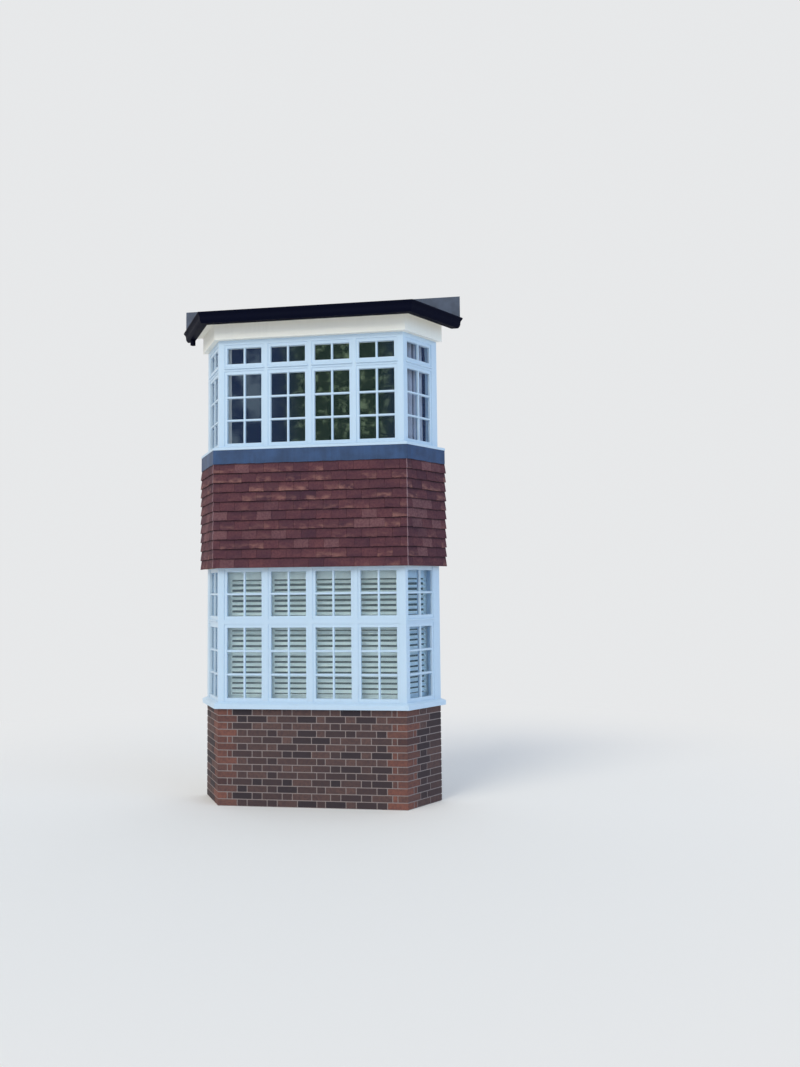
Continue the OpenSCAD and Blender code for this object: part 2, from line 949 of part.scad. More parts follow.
// Lead dressed up the wall and out over the roof
module wall_flashing() {
  end = wall_end(eaves_out, 0) - flashing_end_gap;
  foot = roof_edge_z + lead_t;
  top = foot + roof_rise + flashing_h;
  color(lead_grey) {
    difference() {
      translate([-end, -lead_t, foot])
        cube([2 * end, lead_t, top - foot]);
      over_roof(lead_low + cut, lead_t);
    }
    intersection() {
      difference() {
        over_roof(lead_low, 2 * lead_t);
        over_roof(lead_low + cut, lead_t);
      }
      translate([-end, -flashing_foot, roof_z])
        cube([2 * end, flashing_foot, top - roof_z]);
    }
  }
}

// Everything is moved so that the origin lies under the middle of the outline
module placed() {
  translate([0, origin_shift, 0])
    children();
}

placed() plinth_wall();
placed() ground_floor();
placed() lower_sill();
placed() lower_posts();
placed() lower_transoms();
placed() lower_head();
placed() lower_front_sashes();
placed() lower_side_sashes();
placed() lower_front_glass();
placed() lower_side_glass();
placed() lower_window_board();
placed() shutter_frames();
placed() shutter_louvres();
placed() lower_ceiling();
placed() floor_joists();
placed() upper_floor();
placed() apron_studwork();
placed() apron_lining();
placed() tile_battens();
placed() tiles_left();
placed() tiles_front();
placed() tiles_right();
placed() lead_apron();
placed() upper_sill();
placed() upper_posts();
placed() upper_transoms();
placed() upper_head();
placed() upper_front_sashes();
placed() upper_side_sashes();
placed() upper_front_glass();
placed() upper_side_glass();
placed() upper_window_board();
placed() curtain_rail();
placed() curtain_left();
placed() curtain_right();
placed() eaves_beam();
placed() fascia();
placed() soffit();
placed() upper_ceiling();
placed() roof_joists();
placed() roof_deck();
placed() roof_lead();
placed() gutter();
placed() gutter_stop_ends();
placed() wall_flashing();
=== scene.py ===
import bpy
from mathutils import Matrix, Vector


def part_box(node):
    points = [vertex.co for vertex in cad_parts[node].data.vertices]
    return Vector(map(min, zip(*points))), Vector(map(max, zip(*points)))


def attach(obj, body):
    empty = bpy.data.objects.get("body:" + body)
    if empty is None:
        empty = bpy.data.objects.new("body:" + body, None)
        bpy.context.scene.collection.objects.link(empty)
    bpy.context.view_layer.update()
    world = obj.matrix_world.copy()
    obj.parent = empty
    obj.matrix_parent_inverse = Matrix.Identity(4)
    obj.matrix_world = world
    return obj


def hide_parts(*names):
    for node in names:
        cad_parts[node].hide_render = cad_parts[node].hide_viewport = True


bl_info = {
    "name": "Canted Bay Window",
    "version": (1, 0, 0),
    "blender": (4, 5, 0),
    "location": "3D View > Sidebar > Bay Window",
    "description": "Dresses a two-storey bay window with bricks, hung tiles, glazing bars, lead and cloth",
    "category": "Add Mesh",
}

import math

import bpy
import numpy as np
from bpy.props import FloatProperty, FloatVectorProperty, IntProperty, PointerProperty
from mathutils import Matrix, Vector

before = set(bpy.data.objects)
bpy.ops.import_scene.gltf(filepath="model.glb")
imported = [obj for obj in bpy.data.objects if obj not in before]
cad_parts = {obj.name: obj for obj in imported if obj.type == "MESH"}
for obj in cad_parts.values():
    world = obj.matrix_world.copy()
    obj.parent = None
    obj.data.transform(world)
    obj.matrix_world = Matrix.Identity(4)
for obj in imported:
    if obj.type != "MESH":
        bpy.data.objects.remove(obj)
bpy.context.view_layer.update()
BODY = "root"
SHADE = "shade"
# How near each other two places along a line, two points of a face or two edges count as one
SAME_PLACE, SAME_FACE, SAME_EDGE = 1e-6, 1e-4, 1e-3

# Plan of the bay, read from the head of the lower window: front face, corners and wall
HEAD_LOW, HEAD_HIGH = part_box("lower_head")
FRONT_Y, WALL_Y, HALF_WALL = HEAD_LOW.y, HEAD_HIGH.y, HEAD_HIGH.x


def node_points(name):
    """The vertices of a CAD node as an array of points."""
    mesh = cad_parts[name].data
    points = np.empty(len(mesh.vertices) * 3)
    mesh.vertices.foreach_get("co", points)
    return points.reshape(-1, 3)


HEAD_POINTS = node_points("lower_head")
HALF_FRONT = float(HEAD_POINTS[HEAD_POINTS[:, 1] < FRONT_Y + SAME_FACE][:, 0].max())
CANT_ANGLE = math.atan2(WALL_Y - FRONT_Y, HALF_WALL - HALF_FRONT)

# Corners of the frame face from the left end round to the right, and how far each moves for
# a metre further out: along the wall at the ends, on the mitre at the corners
CORNERS = np.array([[-HALF_WALL, WALL_Y], [-HALF_FRONT, FRONT_Y],
                    [HALF_FRONT, FRONT_Y], [HALF_WALL, WALL_Y]])
END_SHIFT = 1 / math.sin(CANT_ANGLE)
CORNER_SHIFT = math.tan(CANT_ANGLE / 2)
MITRES = np.array([[-END_SHIFT, 0.0], [-CORNER_SHIFT, -1.0], [CORNER_SHIFT, -1.0], [END_SHIFT, 0.0]])


class BayLine:
    """The line of the bay in plan at a distance beyond the frame face, from wall to wall."""

    def __init__(self, out=0.0):
        self.corners = CORNERS + out * MITRES
        steps = np.diff(self.corners, axis=0)
        lengths = np.linalg.norm(steps, axis=1)
        self.knots = np.concatenate([[0.0], np.cumsum(lengths)])
        self.along = steps / lengths[:, None]
        self.outward = np.stack([self.along[:, 1], -self.along[:, 0]], axis=1)

    def place(self, t, out, z):
        """Points t along the line, out beyond it and z up: the side's start, plus t times its
        direction, plus out times its normal. At a corner the mitre replaces the normal."""
        t, out, z = np.broadcast_arrays(t, out, z)
        side = np.clip(np.searchsorted(self.knots, t, side="right") - 1, 0, 2)
        base = self.corners[side] + (t - self.knots[side])[..., None] * self.along[side]
        knot = np.abs(t[..., None] - self.knots).argmin(-1)
        at_knot = np.abs(t - self.knots[knot]) < SAME_PLACE
        lean = np.where(at_knot[..., None], MITRES[knot], self.outward[side])
        return np.concatenate([base + out[..., None] * lean, z[..., None]], axis=-1)


# Settings


def length(name, description, default):
    """A length in metres for the sidebar."""
    return FloatProperty(name=name, description=description, default=default, min=0.0,
                         unit="LENGTH", precision=4)


def tint(name, description, default):
    """A colour for the sidebar."""
    return FloatVectorProperty(name=name, description=description, default=default, size=3,
                               min=0.0, max=1.0, subtype="COLOR")


class BayBrickSettings(bpy.types.PropertyGroup):
    """Bricks of the plinth"""
    stretcher: length("Brick Length", "Length of one brick", 0.215)
    header: length("Brick Width", "Width of one brick", 0.1025)
    course: length("Course Height", "Height of a brick and its bed joint", 0.075)
    joint: length("Joint", "Width of a mortar joint", 0.010)
    recess: length("Joint Recess", "Depth of the mortar behind the brick faces", 0.004)
    dark: tint("Dark Brick", "Darkest bricks", (0.024, 0.016, 0.021))
    brown: tint("Brown Brick", "Most bricks", (0.112, 0.060, 0.052))
    quoin: tint("Quoin Brick", "Bricks at the front corners", (0.205, 0.074, 0.052))
    mortar: tint("Mortar", "Lime mortar", (0.270, 0.218, 0.208))


class BayTileSettings(bpy.types.PropertyGroup):
    """Tiles that hang on the apron"""
    width: length("Tile Width", "Width of one plain tile", 0.165)
    courses: IntProperty(name="Courses", description="Number of tile courses", default=11, min=1)
    thickness: length("Thickness", "Thickness of a tile", 0.012)
    lap: length("Lap", "Hidden length behind the course above", 0.060)
    step: length("Step", "How far a tail stands out over the course below", 0.014)
    gap: length("Side Joint", "Gap between two tiles", 0.002)
    corner_gap: length("Corner Joint", "Width of the pointing at a corner of the bay", 0.018)
    wobble: length("Unevenness", "How far tiles stand out of line", 0.0011)
    sag: length("Sag", "How far a tail hangs above or below its line", 0.0035)
    dark: tint("Dark Tile", "Purple-brown tiles", (0.046, 0.015, 0.028))
    red: tint("Red Tile", "Most tiles", (0.129, 0.042, 0.047))
    pale: tint("Pale Tile", "Tiles that have bleached to pink", (0.215, 0.100, 0.102))
    # Orange near the tails: partly the tiles' own colour, partly painted highlight where the tails catch the
    # light
    orange: tint("Orange Tile", "Patches near the tails", (0.290, 0.135, 0.110))
    pointing: tint("Pointing", "Mortar at the corners of the bay", (0.235, 0.140, 0.155))


class BayGlazingSettings(bpy.types.PropertyGroup):
    """Glazing bars and putty"""
    bar_face: length("Bar Face", "Width of a bar at its face", 0.018)
    bar_foot: length("Bar Foot", "Width of a bar and its putty at the glass", 0.028)
    putty: length("Putty", "Width of the putty round a light", 0.004)


class BayLeadSettings(bpy.types.PropertyGroup):
    """Lead under the upper sill and on the roof"""
    sheet: length("Sheet", "Thickness of the lead", 0.003)
    ripple: length("Ripple", "Height of the dents in the lead", 0.0011)
    tuck: length("Tuck", "How far the lead runs in under the sill", 0.070)
    roll_width: length("Roll Width", "Width of a roll in the roof lead", 0.046)
    roll_height: length("Roll Height", "Height of a roll in the roof lead", 0.038)
    roll_spacing: length("Roll Spacing", "Distance between two rolls", 0.500)
    colour: tint("Apron Lead", "Weathered lead under the sill", (0.026, 0.060, 0.140))
    roof: tint("Roof Lead", "Weathered lead of the roof", (0.066, 0.084, 0.124))


class BayCurtainSettings(bpy.types.PropertyGroup):
    """Gathered curtains"""
    fold: length("Fold Spacing", "Distance between two folds along the rail", 0.100)
    depth: length("Fold Depth", "Depth of a fold either side of the middle", 0.0185)
    wall_gap: length("Wall Gap", "Distance from a curtain's hem to the end of its solid", 0.045)
    cloth: tint("Cloth", "Pale lilac-grey cloth", (0.740, 0.690, 0.700))
    # Colour of the painted shade in the hollows of the folds
    painted_fold_shade: tint("Fold Hollow", "Cloth deep in a fold", (0.100, 0.110, 0.155))


class BayPaintSettings(bpy.types.PropertyGroup):
    """Paints and other finishes"""
    # White paint with a painted cast of blue sky shade
    white: tint("White", "Gloss paint of the windows", (0.530, 0.670, 0.800))
    cream: tint("Cream", "Paint of the fascia", (0.880, 0.860, 0.780))
    # White shutter paint with a painted cast of blue sky light
    shutter: tint("Shutter", "Paint of the shutters", (0.780, 0.885, 0.890))
    black: tint("Black", "Paint of the gutter", (0.003, 0.004, 0.013))
    plaster: tint("Plaster", "Linings and ceilings", (0.620, 0.600, 0.560))
    timber: tint("Timber", "Sawn softwood", (0.420, 0.270, 0.140))


class BayStageSettings(bpy.types.PropertyGroup):
    """Floor, light and camera"""
    pale: tint("Background", "Background, as it is seen", (0.80, 0.81, 0.82))
    ground: tint("Floor", "Floor, paler to look like the background in this light", (0.94, 0.90, 0.85))
    sky: tint("Sky", "Colour of the even light", (0.81, 0.88, 1.0))
    ambient: FloatProperty(name="Ambient", description="Even light from all round", default=0.68, min=0.0)
    key: FloatProperty(name="Key", description="Soft light from the upper left", default=1.33, min=0.0)
    fill: FloatProperty(name="Fill", description="Cool light from the right", default=0.80, min=0.0)
    lens: FloatProperty(name="Lens", description="Focal length on a 36 mm side", default=30.115, min=1.0)


def settings(group):
    """The scene's settings of one group."""
    return getattr(bpy.context.scene, group)


# Meshes


def signed_volume(points, quads):
    """Six times the volume inside the quads: positive if they face outwards."""
    a, b, c, d = (points[quads[:, k]] for k in range(4))
    return float((np.cross(a, b) * c).sum() + (np.cross(a, c) * d).sum())


def ring_faces(rings, loop=False):
    """Faces of prisms whose cross-sections are rings, shaped pieces x stations x points x 3.
    Each station is joined to the next, the ends are capped, or the last meets the first."""
    pieces, stations, count = rings.shape[:3]
    index = np.arange(pieces * stations * count).reshape(pieces, stations, count)
    here, there = (index, np.roll(index, -1, 1)) if loop else (index[:, :-1], index[:, 1:])
    quads = np.stack([here, np.roll(here, -1, 2), np.roll(there, -1, 2), there], -1).reshape(-1, 4)
    caps = np.empty((0, count), int) if loop else np.concatenate([index[:, 0, ::-1], index[:, -1]])
    if signed_volume(rings.reshape(-1, 3), quads) < 0:
        quads, caps = quads[:, ::-1], caps[:, ::-1]
    return quads.tolist() + caps.tolist()


def add_object(name, data):
    """An object in the scene with this data."""
    added = bpy.data.objects.new(name, data)
    bpy.context.scene.collection.objects.link(added)
    return added


def new_mesh(name, points, faces, material):
    """A mesh of points and faces in one material."""
    mesh = bpy.data.meshes.new(name)
    mesh.from_pydata(points.reshape(-1, 3).tolist(), [], faces)
    mesh.materials.append(material)
    return mesh


def add_piece(name, points, faces, material, replaces=(), shades=None, smooth=None):
    """A piece of the bay: its mesh at its place, its material and its body."""
    mesh = new_mesh(name, points, faces, material)
    mesh.update()
    mesh.validate()
    if smooth is not None:
        mesh.shade_smooth()
        mesh.set_sharp_from_angle(angle=math.radians(smooth))
    if shades is not None:
        mesh.attributes.new(SHADE, "FLOAT_VECTOR", "POINT").data.foreach_set("vector", shades.ravel())
    piece = add_object(name, mesh)
    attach(piece, BODY)
    if replaces:
        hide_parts(*replaces)
    return piece


def add_bevel(piece, width):
    """Cuts back the sharp edges of a piece."""
    bevel = piece.modifiers.new("Rounded edges", "BEVEL")
    bevel.width = width
    bevel.limit_method = "ANGLE"


# How far along a unit at the wall its middle station lies, clear of its slanting end
END_SHARE = 0.8


def units_on(line, cuts, gap, corner_gap=0.0):
    """Three stations for each unit laid along a line: start, middle and end. A gap parts the
    units, wider where they meet at a corner. A corner inside a unit becomes its middle, and the
    ends lie on the wall."""
    at_corner = np.abs(cuts[:, None] - line.knots[1:-1]).min(1) < SAME_PLACE
    half = np.where(at_corner, corner_gap, gap) / 2
    start, end = cuts[:-1] + half[:-1], cuts[1:] - half[1:]
    start[0], end[-1] = line.knots[0], line.knots[-1]
    middle = (start + end) / 2
    middle[0] = start[0] + END_SHARE * (end[0] - start[0])
    middle[-1] = end[-1] - END_SHARE * (end[-1] - start[-1])
    for knot in line.knots[1:-1]:
        middle = np.where((start < knot) & (end > knot), knot, middle)
    return np.stack([start, middle, end], axis=1)


# Shader nodes


def add_node(tree, kind, values=None, **options):
    """A shader node with its options, and its inputs set to values or linked to sockets."""
    node = tree.nodes.new(kind)
    for key, value in options.items():
        setattr(node, key, value)
    for key, value in (values or {}).items():
        if isinstance(value, bpy.types.NodeSocket):
            tree.links.new(value, node.inputs[key])
        else:
            node.inputs[key].default_value = value
    return node


def rgba(colour, gain=1.0):
    """A colour with full alpha, its brightness changed by gain."""
    return (*(min(1.0, c * gain) for c in colour), 1.0)


def mix_colours(tree, factor, first, second):
    """A mix of two colours, each a colour or a socket."""
    node = add_node(tree, "ShaderNodeMix", {0: factor, 6: first, 7: second}, data_type="RGBA")
    return node.outputs[2]


def calculate(tree, operation, first, second=0.0, clamp=True):
    """One sum of two values or sockets, kept from 0 to 1 where it is clamped."""
    node = add_node(tree, "ShaderNodeMath", {0: first, 1: second}, operation=operation, use_clamp=clamp)
    return node.outputs[0]


def cover(tree, mask, share, under, over):
    """One colour over another where the mask is, by no more than a share."""
    return mix_colours(tree, calculate(tree, "MULTIPLY", mask, share), under, over)


def ramp_value(tree, value, low, high):
    """A value mapped smoothly from 0 at low to 1 at high."""
    node = add_node(tree, "ShaderNodeMapRange", {"Value": value, "From Min": low, "From Max": high},
                    interpolation_type="SMOOTHSTEP")
    return node.outputs[0]


def noise(tree, vector, scale, detail, roughness=0.55):
    """The value of a noise texture."""
    node = add_node(tree, "ShaderNodeTexNoise",
                    {"Vector": vector, "Scale": scale, "Detail": detail, "Roughness": roughness})
    return node.outputs["Fac"]


def stretched(tree, vector, scale):
    """A vector scaled along each axis."""
    return add_node(tree, "ShaderNodeMapping", {"Vector": vector, "Scale": scale}).outputs[0]


def shared_group(name, build):
    """A shader node group, built once: a vector and a scale go in, a mask and a height out."""
    if name in bpy.data.node_groups:
        return bpy.data.node_groups[name]
    group = bpy.data.node_groups.new(name, "ShaderNodeTree")
    for label, way, kind in (("Vector", "INPUT", "Vector"), ("Scale", "INPUT", "Float"),
                             ("Mask", "OUTPUT", "Float"), ("Height", "OUTPUT", "Float")):
        group.interface.new_socket(label, in_out=way, socket_type=f"NodeSocket{kind}")
    source = group.nodes.new("NodeGroupInput").outputs
    target = group.nodes.new("NodeGroupOutput").inputs
    for label, socket in zip(("Mask", "Height"), build(group, source["Vector"], source["Scale"])):
        group.links.new(socket, target[label])
    return group


def weather_group():
    """Weathering: blotches and rain streaks as a mask, and fine unevenness as a height."""
    def build(tree, vector, scale):
        blotches = noise(tree, vector, scale, 5.0, 0.6)
        streaks = noise(tree, stretched(tree, vector, (30.0, 30.0, 1.6)), 1.0, 3.0)
        fine = noise(tree, vector, 160.0, 3.0)
        both = calculate(tree, "MULTIPLY", ramp_value(tree, blotches, 0.35, 0.72),
                         ramp_value(tree, streaks, 0.30, 0.75))
        return calculate(tree, "ADD", both, calculate(tree, "MULTIPLY", fine, 0.18)), fine
    return shared_group("Weathering", build)


def pitted_group():
    """Fired clay: pits and fine speckle as a mask and a height."""
    def build(tree, vector, scale):
        coarse = noise(tree, vector, scale, 6.0, 0.65)
        fine = noise(tree, vector, calculate(tree, "MULTIPLY", scale, 4.0, clamp=False), 4.0, 0.7)
        height = calculate(tree, "ADD", calculate(tree, "MULTIPLY", coarse, 0.6),
                           calculate(tree, "MULTIPLY", fine, 0.4))
        return ramp_value(tree, coarse, 0.38, 0.66), height
    return shared_group("Fired clay", build)


def place_group(tree, group, vector, scale):
    """A shared group in a material, fed with its vector and scale."""
    node = tree.nodes.new("ShaderNodeGroup")
    node.node_tree = group
    tree.links.new(vector, node.inputs["Vector"])
    node.inputs["Scale"].default_value = scale
    return node.outputs["Mask"], node.outputs["Height"]


def new_material(name, roughness=0.5, **plain):
    """A material, its node tree, its shader and its Object coordinates. Plain values are set
    on the shader's own sockets."""
    material = bpy.data.materials.new(name)
    material.use_nodes = True
    tree = material.node_tree
    shader = tree.nodes["Principled BSDF"]
    shader.inputs["Roughness"].default_value = roughness
    for key, value in plain.items():
        shader.inputs[key.replace("_", " ")].default_value = value
    here = tree.nodes.new("ShaderNodeTexCoord").outputs["Object"]
    return material, tree, shader, here


def finish_shader(tree, shader, colour, height, strength, distance, roughness=None):
    """Links colour, bump and, where it varies, roughness to the shader."""
    tree.links.new(colour, shader.inputs["Base Color"])
    bump = add_node(tree, "ShaderNodeBump", {"Strength": strength, "Distance": distance, "Height": height})
    tree.links.new(bump.outputs[0], shader.inputs["Normal"])
    if roughness is not None:
        tree.links.new(roughness, shader.inputs["Roughness"])


def between(tree, mask, low, high):
    """A value from low to high where the mask goes from 0 to 1."""
    return add_node(tree, "ShaderNodeMapRange", {"Value": mask, "To Min": low, "To Max": high}).outputs[0]


# Materials


def paint(name, colour, roughness, dirt=0.80, **plain):
    """Brushed paint that rain has dulled in streaks."""
    material, tree, shader, here = new_material(name, roughness, **plain)
    mask, height = place_group(tree, weather_group(), here, 2.2)
    shade = cover(tree, mask, 0.22, rgba(colour), rgba(colour, dirt))
    finish_shader(tree, shader, shade, height, 0.08, 0.0006, between(tree, mask, roughness, roughness + 0.2))
    return material


def sawn_timber(name, colour):
    """Sawn softwood with grain along its length."""
    material, tree, shader, here = new_material(name, 0.75)
    grain = noise(tree, stretched(tree, here, (14.0, 3.0, 70.0)), 1.0, 5.0)
    mask = ramp_value(tree, grain, 0.35, 0.7)
    shade = mix_colours(tree, mask, rgba(colour, 1.1), rgba(colour, 0.62))
    finish_shader(tree, shader, shade, grain, 0.3, 0.0015)
    return material


def plain_plaster(name, colour, scale=26.0, distance=0.002):
    """Trowelled plaster or concrete."""
    material, tree, shader, here = new_material(name, 0.85)
    mask, height = place_group(tree, pitted_group(), here, scale)
    shade = mix_colours(tree, mask, rgba(colour, 0.95), rgba(colour, 1.02))
    finish_shader(tree, shader, shade, height, 0.2, distance)
    return material


def weathered_lead(name, colour):
    """Lead gone blue-grey, with pale and dark patches."""
    material, tree, shader, here = new_material(name, 0.5, Specular_IOR_Level=0.3)
    mask, height = place_group(tree, weather_group(), here, 4.0)
    cloud = ramp_value(tree, noise(tree, here, 6.0, 5.0), 0.35, 0.7)
    shade = mix_colours(tree, cloud, rgba(colour, 0.78), rgba(colour, 1.18))
    shade = cover(tree, mask, 0.35, shade, rgba(colour, 1.9))
    finish_shader(tree, shader, shade, height, 0.3, 0.001, between(tree, mask, 0.42, 0.62))
    return material


def window_glass(name, colour, bending):
    """Drawn glass: clear, very slightly wavy and a little dusty. The less it bends light, the
    less of the pale background it reflects."""
    material, tree, shader, here = new_material(name, 0.0, Transmission_Weight=1.0, IOR=bending)
    wave = noise(tree, here, 3.5, 1.0)
    dust = ramp_value(tree, noise(tree, here, 9.0, 5.0), 0.45, 0.85)
    shade = mix_colours(tree, dust, rgba(colour), rgba(colour, 0.94))
    finish_shader(tree, shader, shade, wave, 0.06, 0.002, between(tree, dust, 0.0, 0.03))
    return material


def shade_attribute(tree):
    """The three numbers that a point carries: tone, hue and place on a brick or tile, or how
    far forward it is in a fold of cloth."""
    source = add_node(tree, "ShaderNodeAttribute", attribute_name=SHADE)
    parts = add_node(tree, "ShaderNodeSeparateXYZ", {0: source.outputs["Vector"]})
    return parts.outputs


def clay_tiles(name, look):
    """Hand-made tiles from purple-brown to red. Some have bleached to pink, some have orange
    patches near their tails, partly their own colour and partly painted highlight where the tails
    catch the light, and all carry a painted shadow just under the course above."""
    material, tree, shader, here = new_material(name, 0.8, Specular_IOR_Level=0.3)
    tone, hue, place = shade_attribute(tree)
    mask, height = place_group(tree, pitted_group(), here, 42.0)
    streak = ramp_value(tree, noise(tree, stretched(tree, here, (9.0, 9.0, 20.0)), 1.0, 5.0), 0.38, 0.70)
    cloud = ramp_value(tree, noise(tree, stretched(tree, here, (4.0, 4.0, 9.0)), 1.0, 5.0, 0.65), 0.30, 0.70)
    tone = add_node(tree, "ShaderNodeMix", {0: 0.5, 2: tone, 3: cloud}, data_type="FLOAT").outputs[0]
    shade = mix_colours(tree, tone, rgba(look.dark), rgba(look.red))
    shade = cover(tree, ramp_value(tree, hue, 0.24, 0.08), 0.55, shade, rgba(look.pale))
    shade = cover(tree, mask, 0.45, shade, rgba(look.dark, 1.3))
    # Orange patches near the tails: partly the tiles' own colour, partly painted highlight where the tails
    # catch the light
    patch = calculate(tree, "MULTIPLY", ramp_value(tree, place, 0.75, 0.20), streak)
    patch = calculate(tree, "MULTIPLY", patch, ramp_value(tree, hue, 0.55, 1.05))
    shade = cover(tree, patch, 0.8, shade, rgba(look.orange))
    # Painted shadow of the course above: each tile darker just under it
    shade = cover(tree, ramp_value(tree, place, 0.78, 0.98), 0.8, shade, rgba(look.dark, 0.45))
    finish_shader(tree, shader, shade, height, 0.5, 0.002, between(tree, mask, 0.72, 0.9))
    return material


def fired_bricks(name, look):
    """Stock bricks from near black to brown, and orange-red ones at the corners."""
    material, tree, shader, here = new_material(name, 0.85)
    tone, _, quoin = shade_attribute(tree)
    mask, height = place_group(tree, pitted_group(), here, 36.0)
    shade = mix_colours(tree, tone, rgba(look.dark), rgba(look.brown))
    shade = mix_colours(tree, quoin, shade, rgba(look.quoin))
    shade = cover(tree, mask, 0.45, shade, rgba(look.dark, 1.4))
    finish_shader(tree, shader, shade, height, 0.6, 0.0025)
    return material


def woven_cloth(name, colour, deep):
    """Plain-woven cloth: crossing threads along the cloth's own width and length, darker in the
    hollows of its folds, which little light reaches."""
    material, tree, shader, _ = new_material(name, 0.9, Sheen_Weight=0.25, Sheen_Roughness=0.5)
    across = tree.nodes.new("ShaderNodeUVMap").outputs[0]
    threads = [add_node(tree, "ShaderNodeTexWave", {"Vector": across, "Scale": 110.0, "Distortion": 0.6},
                        bands_direction=axis).outputs["Fac"] for axis in ("X", "Y")]
    weave = calculate(tree, "MULTIPLY", *threads)
    slub = ramp_value(tree, noise(tree, stretched(tree, across, (60.0, 4.0, 1.0)), 1.0, 3.0), 0.3, 0.75)
    shade = mix_colours(tree, slub, rgba(colour, 0.90), rgba(colour, 1.05))
    # Painted shade: the cloth darker where it lies back in a fold
    painted_fold_shade = ramp_value(tree, shade_attribute(tree)["X"], 0.60, 0.0)
    shade = cover(tree, painted_fold_shade, 0.85, shade, rgba(deep))
    finish_shader(tree, shader, shade, weave, 0.25, 0.0006)
    return material


# Which nodes have which finish


def finishes():
    """Each material of the CAD nodes, with the nodes that wear it."""
    look, lead = settings("bay_paint"), settings("bay_lead")
    return [
        # The window white carries a painted cast of blue sky shade
        (paint("White gloss", look.white, 0.28), ["curtain_rail"] + [
            f"{storey}_{part}" for storey in ("lower", "upper") for part in (
                "sill", "posts", "transoms", "head", "front_sashes", "side_sashes", "window_board")]),
        (paint("Cream fascia", look.cream, 0.38), ["fascia", "soffit"]),
        # The shutter paint carries a painted cast of blue sky light
        (paint("Shutter paint", look.shutter, 0.42, 0.9), ["shutter_frames", "shutter_louvres"]),
        (paint("Black iron", look.black, 0.50, 1.6, Specular_IOR_Level=0.03), ["gutter", "gutter_stop_ends"]),
        (plain_plaster("Plaster", look.plaster), ["lower_ceiling", "apron_lining", "upper_ceiling"]),
        (plain_plaster("Concrete", (0.32, 0.31, 0.29), 60.0, 0.004), ["ground_floor"]),
        (sawn_timber("Sawn timber", look.timber), [
            "floor_joists", "apron_studwork", "tile_battens", "eaves_beam", "roof_joists", "roof_deck"]),
        (weathered_lead("Roof lead", lead.roof), ["roof_lead", "wall_flashing"]),
        (window_glass("Clear glass", (0.935, 0.985, 1.0), 1.35), ["lower_front_glass"]),
        # Blue tint on the side glass: painted blue light falling on the cants from the right
        (window_glass("Side glass with painted blue light", (0.76, 0.86, 0.98), 1.12), ["lower_side_glass", "upper_side_glass"]),
        # Darker tint than the lower front glass: painted shade of the unlit room behind
        (window_glass("Front glass with painted shade", (0.78, 0.85, 0.86), 1.15), ["upper_front_glass"]),
    ]


class BAY_OT_finishes(bpy.types.Operator):
    """Give every carried-over piece its paint, plaster, timber, lead or glass"""
    bl_idname = "bay.finishes"
    bl_label = "Paints and Finishes"

    def execute(self, context):
        for material, names in finishes():
            for name in names:
                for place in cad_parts[name].material_slots:
                    place.material = material
        return {"FINISHED"}


# Bricks

# How far the edges of a brick are cut back
BRICK_EDGE = 0.0025
# Least share of a brick that is left in the middle of a course for a cut brick
CUT_SHARE = 0.7
OUTER_SEED, INNER_SEED = 3, 4


def bond(reach, header_first, look):
    """Joints of Flemish bond from a corner: a brick end and a closer, or a whole brick, and
    then ends and sides by turns as far as reach."""
    side, end = look.stretcher + look.joint, look.header + look.joint
    start = [end - look.joint / 2, end / 2] if header_first else [side - look.joint / 2, end]
    repeat = [side, end] * math.ceil(reach / (side + end))
    joints = np.cumsum(start + repeat)
    return joints[joints < reach]


def brick_cuts(line, header_first, look):
    """Joints right round a course, the same from both corners, with a cut brick in the middle
    and a brick longer than its width at the wall, where its end is cut on the slant."""
    first, second = line.knots[1], line.knots[2]
    half = (second - first) / 2
    least = look.header / 2
    front = bond(half - least, header_first, look)
    middle = [first + front[-1] + look.stretcher] if half - front[-1] > look.stretcher * CUT_SHARE else []
    cant = bond(first - line.knots[0] - look.header - least / 2, not header_first, look)
    return np.sort(np.concatenate([[line.knots[0], line.knots[3]], middle, first + front, second - front,
                                   first - cant, second + cant]))


def brick_leaf(line, near, far, seed, reddest):
    """One leaf of bricks between two distances from a line: the ring of each brick is its
    section, carried through its three stations. Bricks near a corner are red, up to reddest."""
    look = settings("bay_bricks")
    draw = np.random.default_rng(seed)
    courses = round(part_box("plinth_wall")[1].z / look.course)
    rings, shades = [], []
    for course in range(courses):
        stations = units_on(line, brick_cuts(line, course % 2 == 1, look), look.joint)
        low = course * look.course + look.joint / 2
        high = low + look.course - look.joint
        out = np.array([near, far, far, near])
        z = np.array([low, low, high, high])
        rings.append(line.place(stations[:, :, None], out, z))
        corner = np.abs(stations[:, 1, None] - line.knots[1:3]).min(1) < look.stretcher
        tone = draw.beta(0.8, 0.9, len(stations))
        redness = reddest * corner * (0.15 + 0.85 * draw.random(len(tone)))
        shades.append(np.stack([tone, draw.random(len(tone)), redness], 1))
    return np.concatenate(rings), np.concatenate(shades)


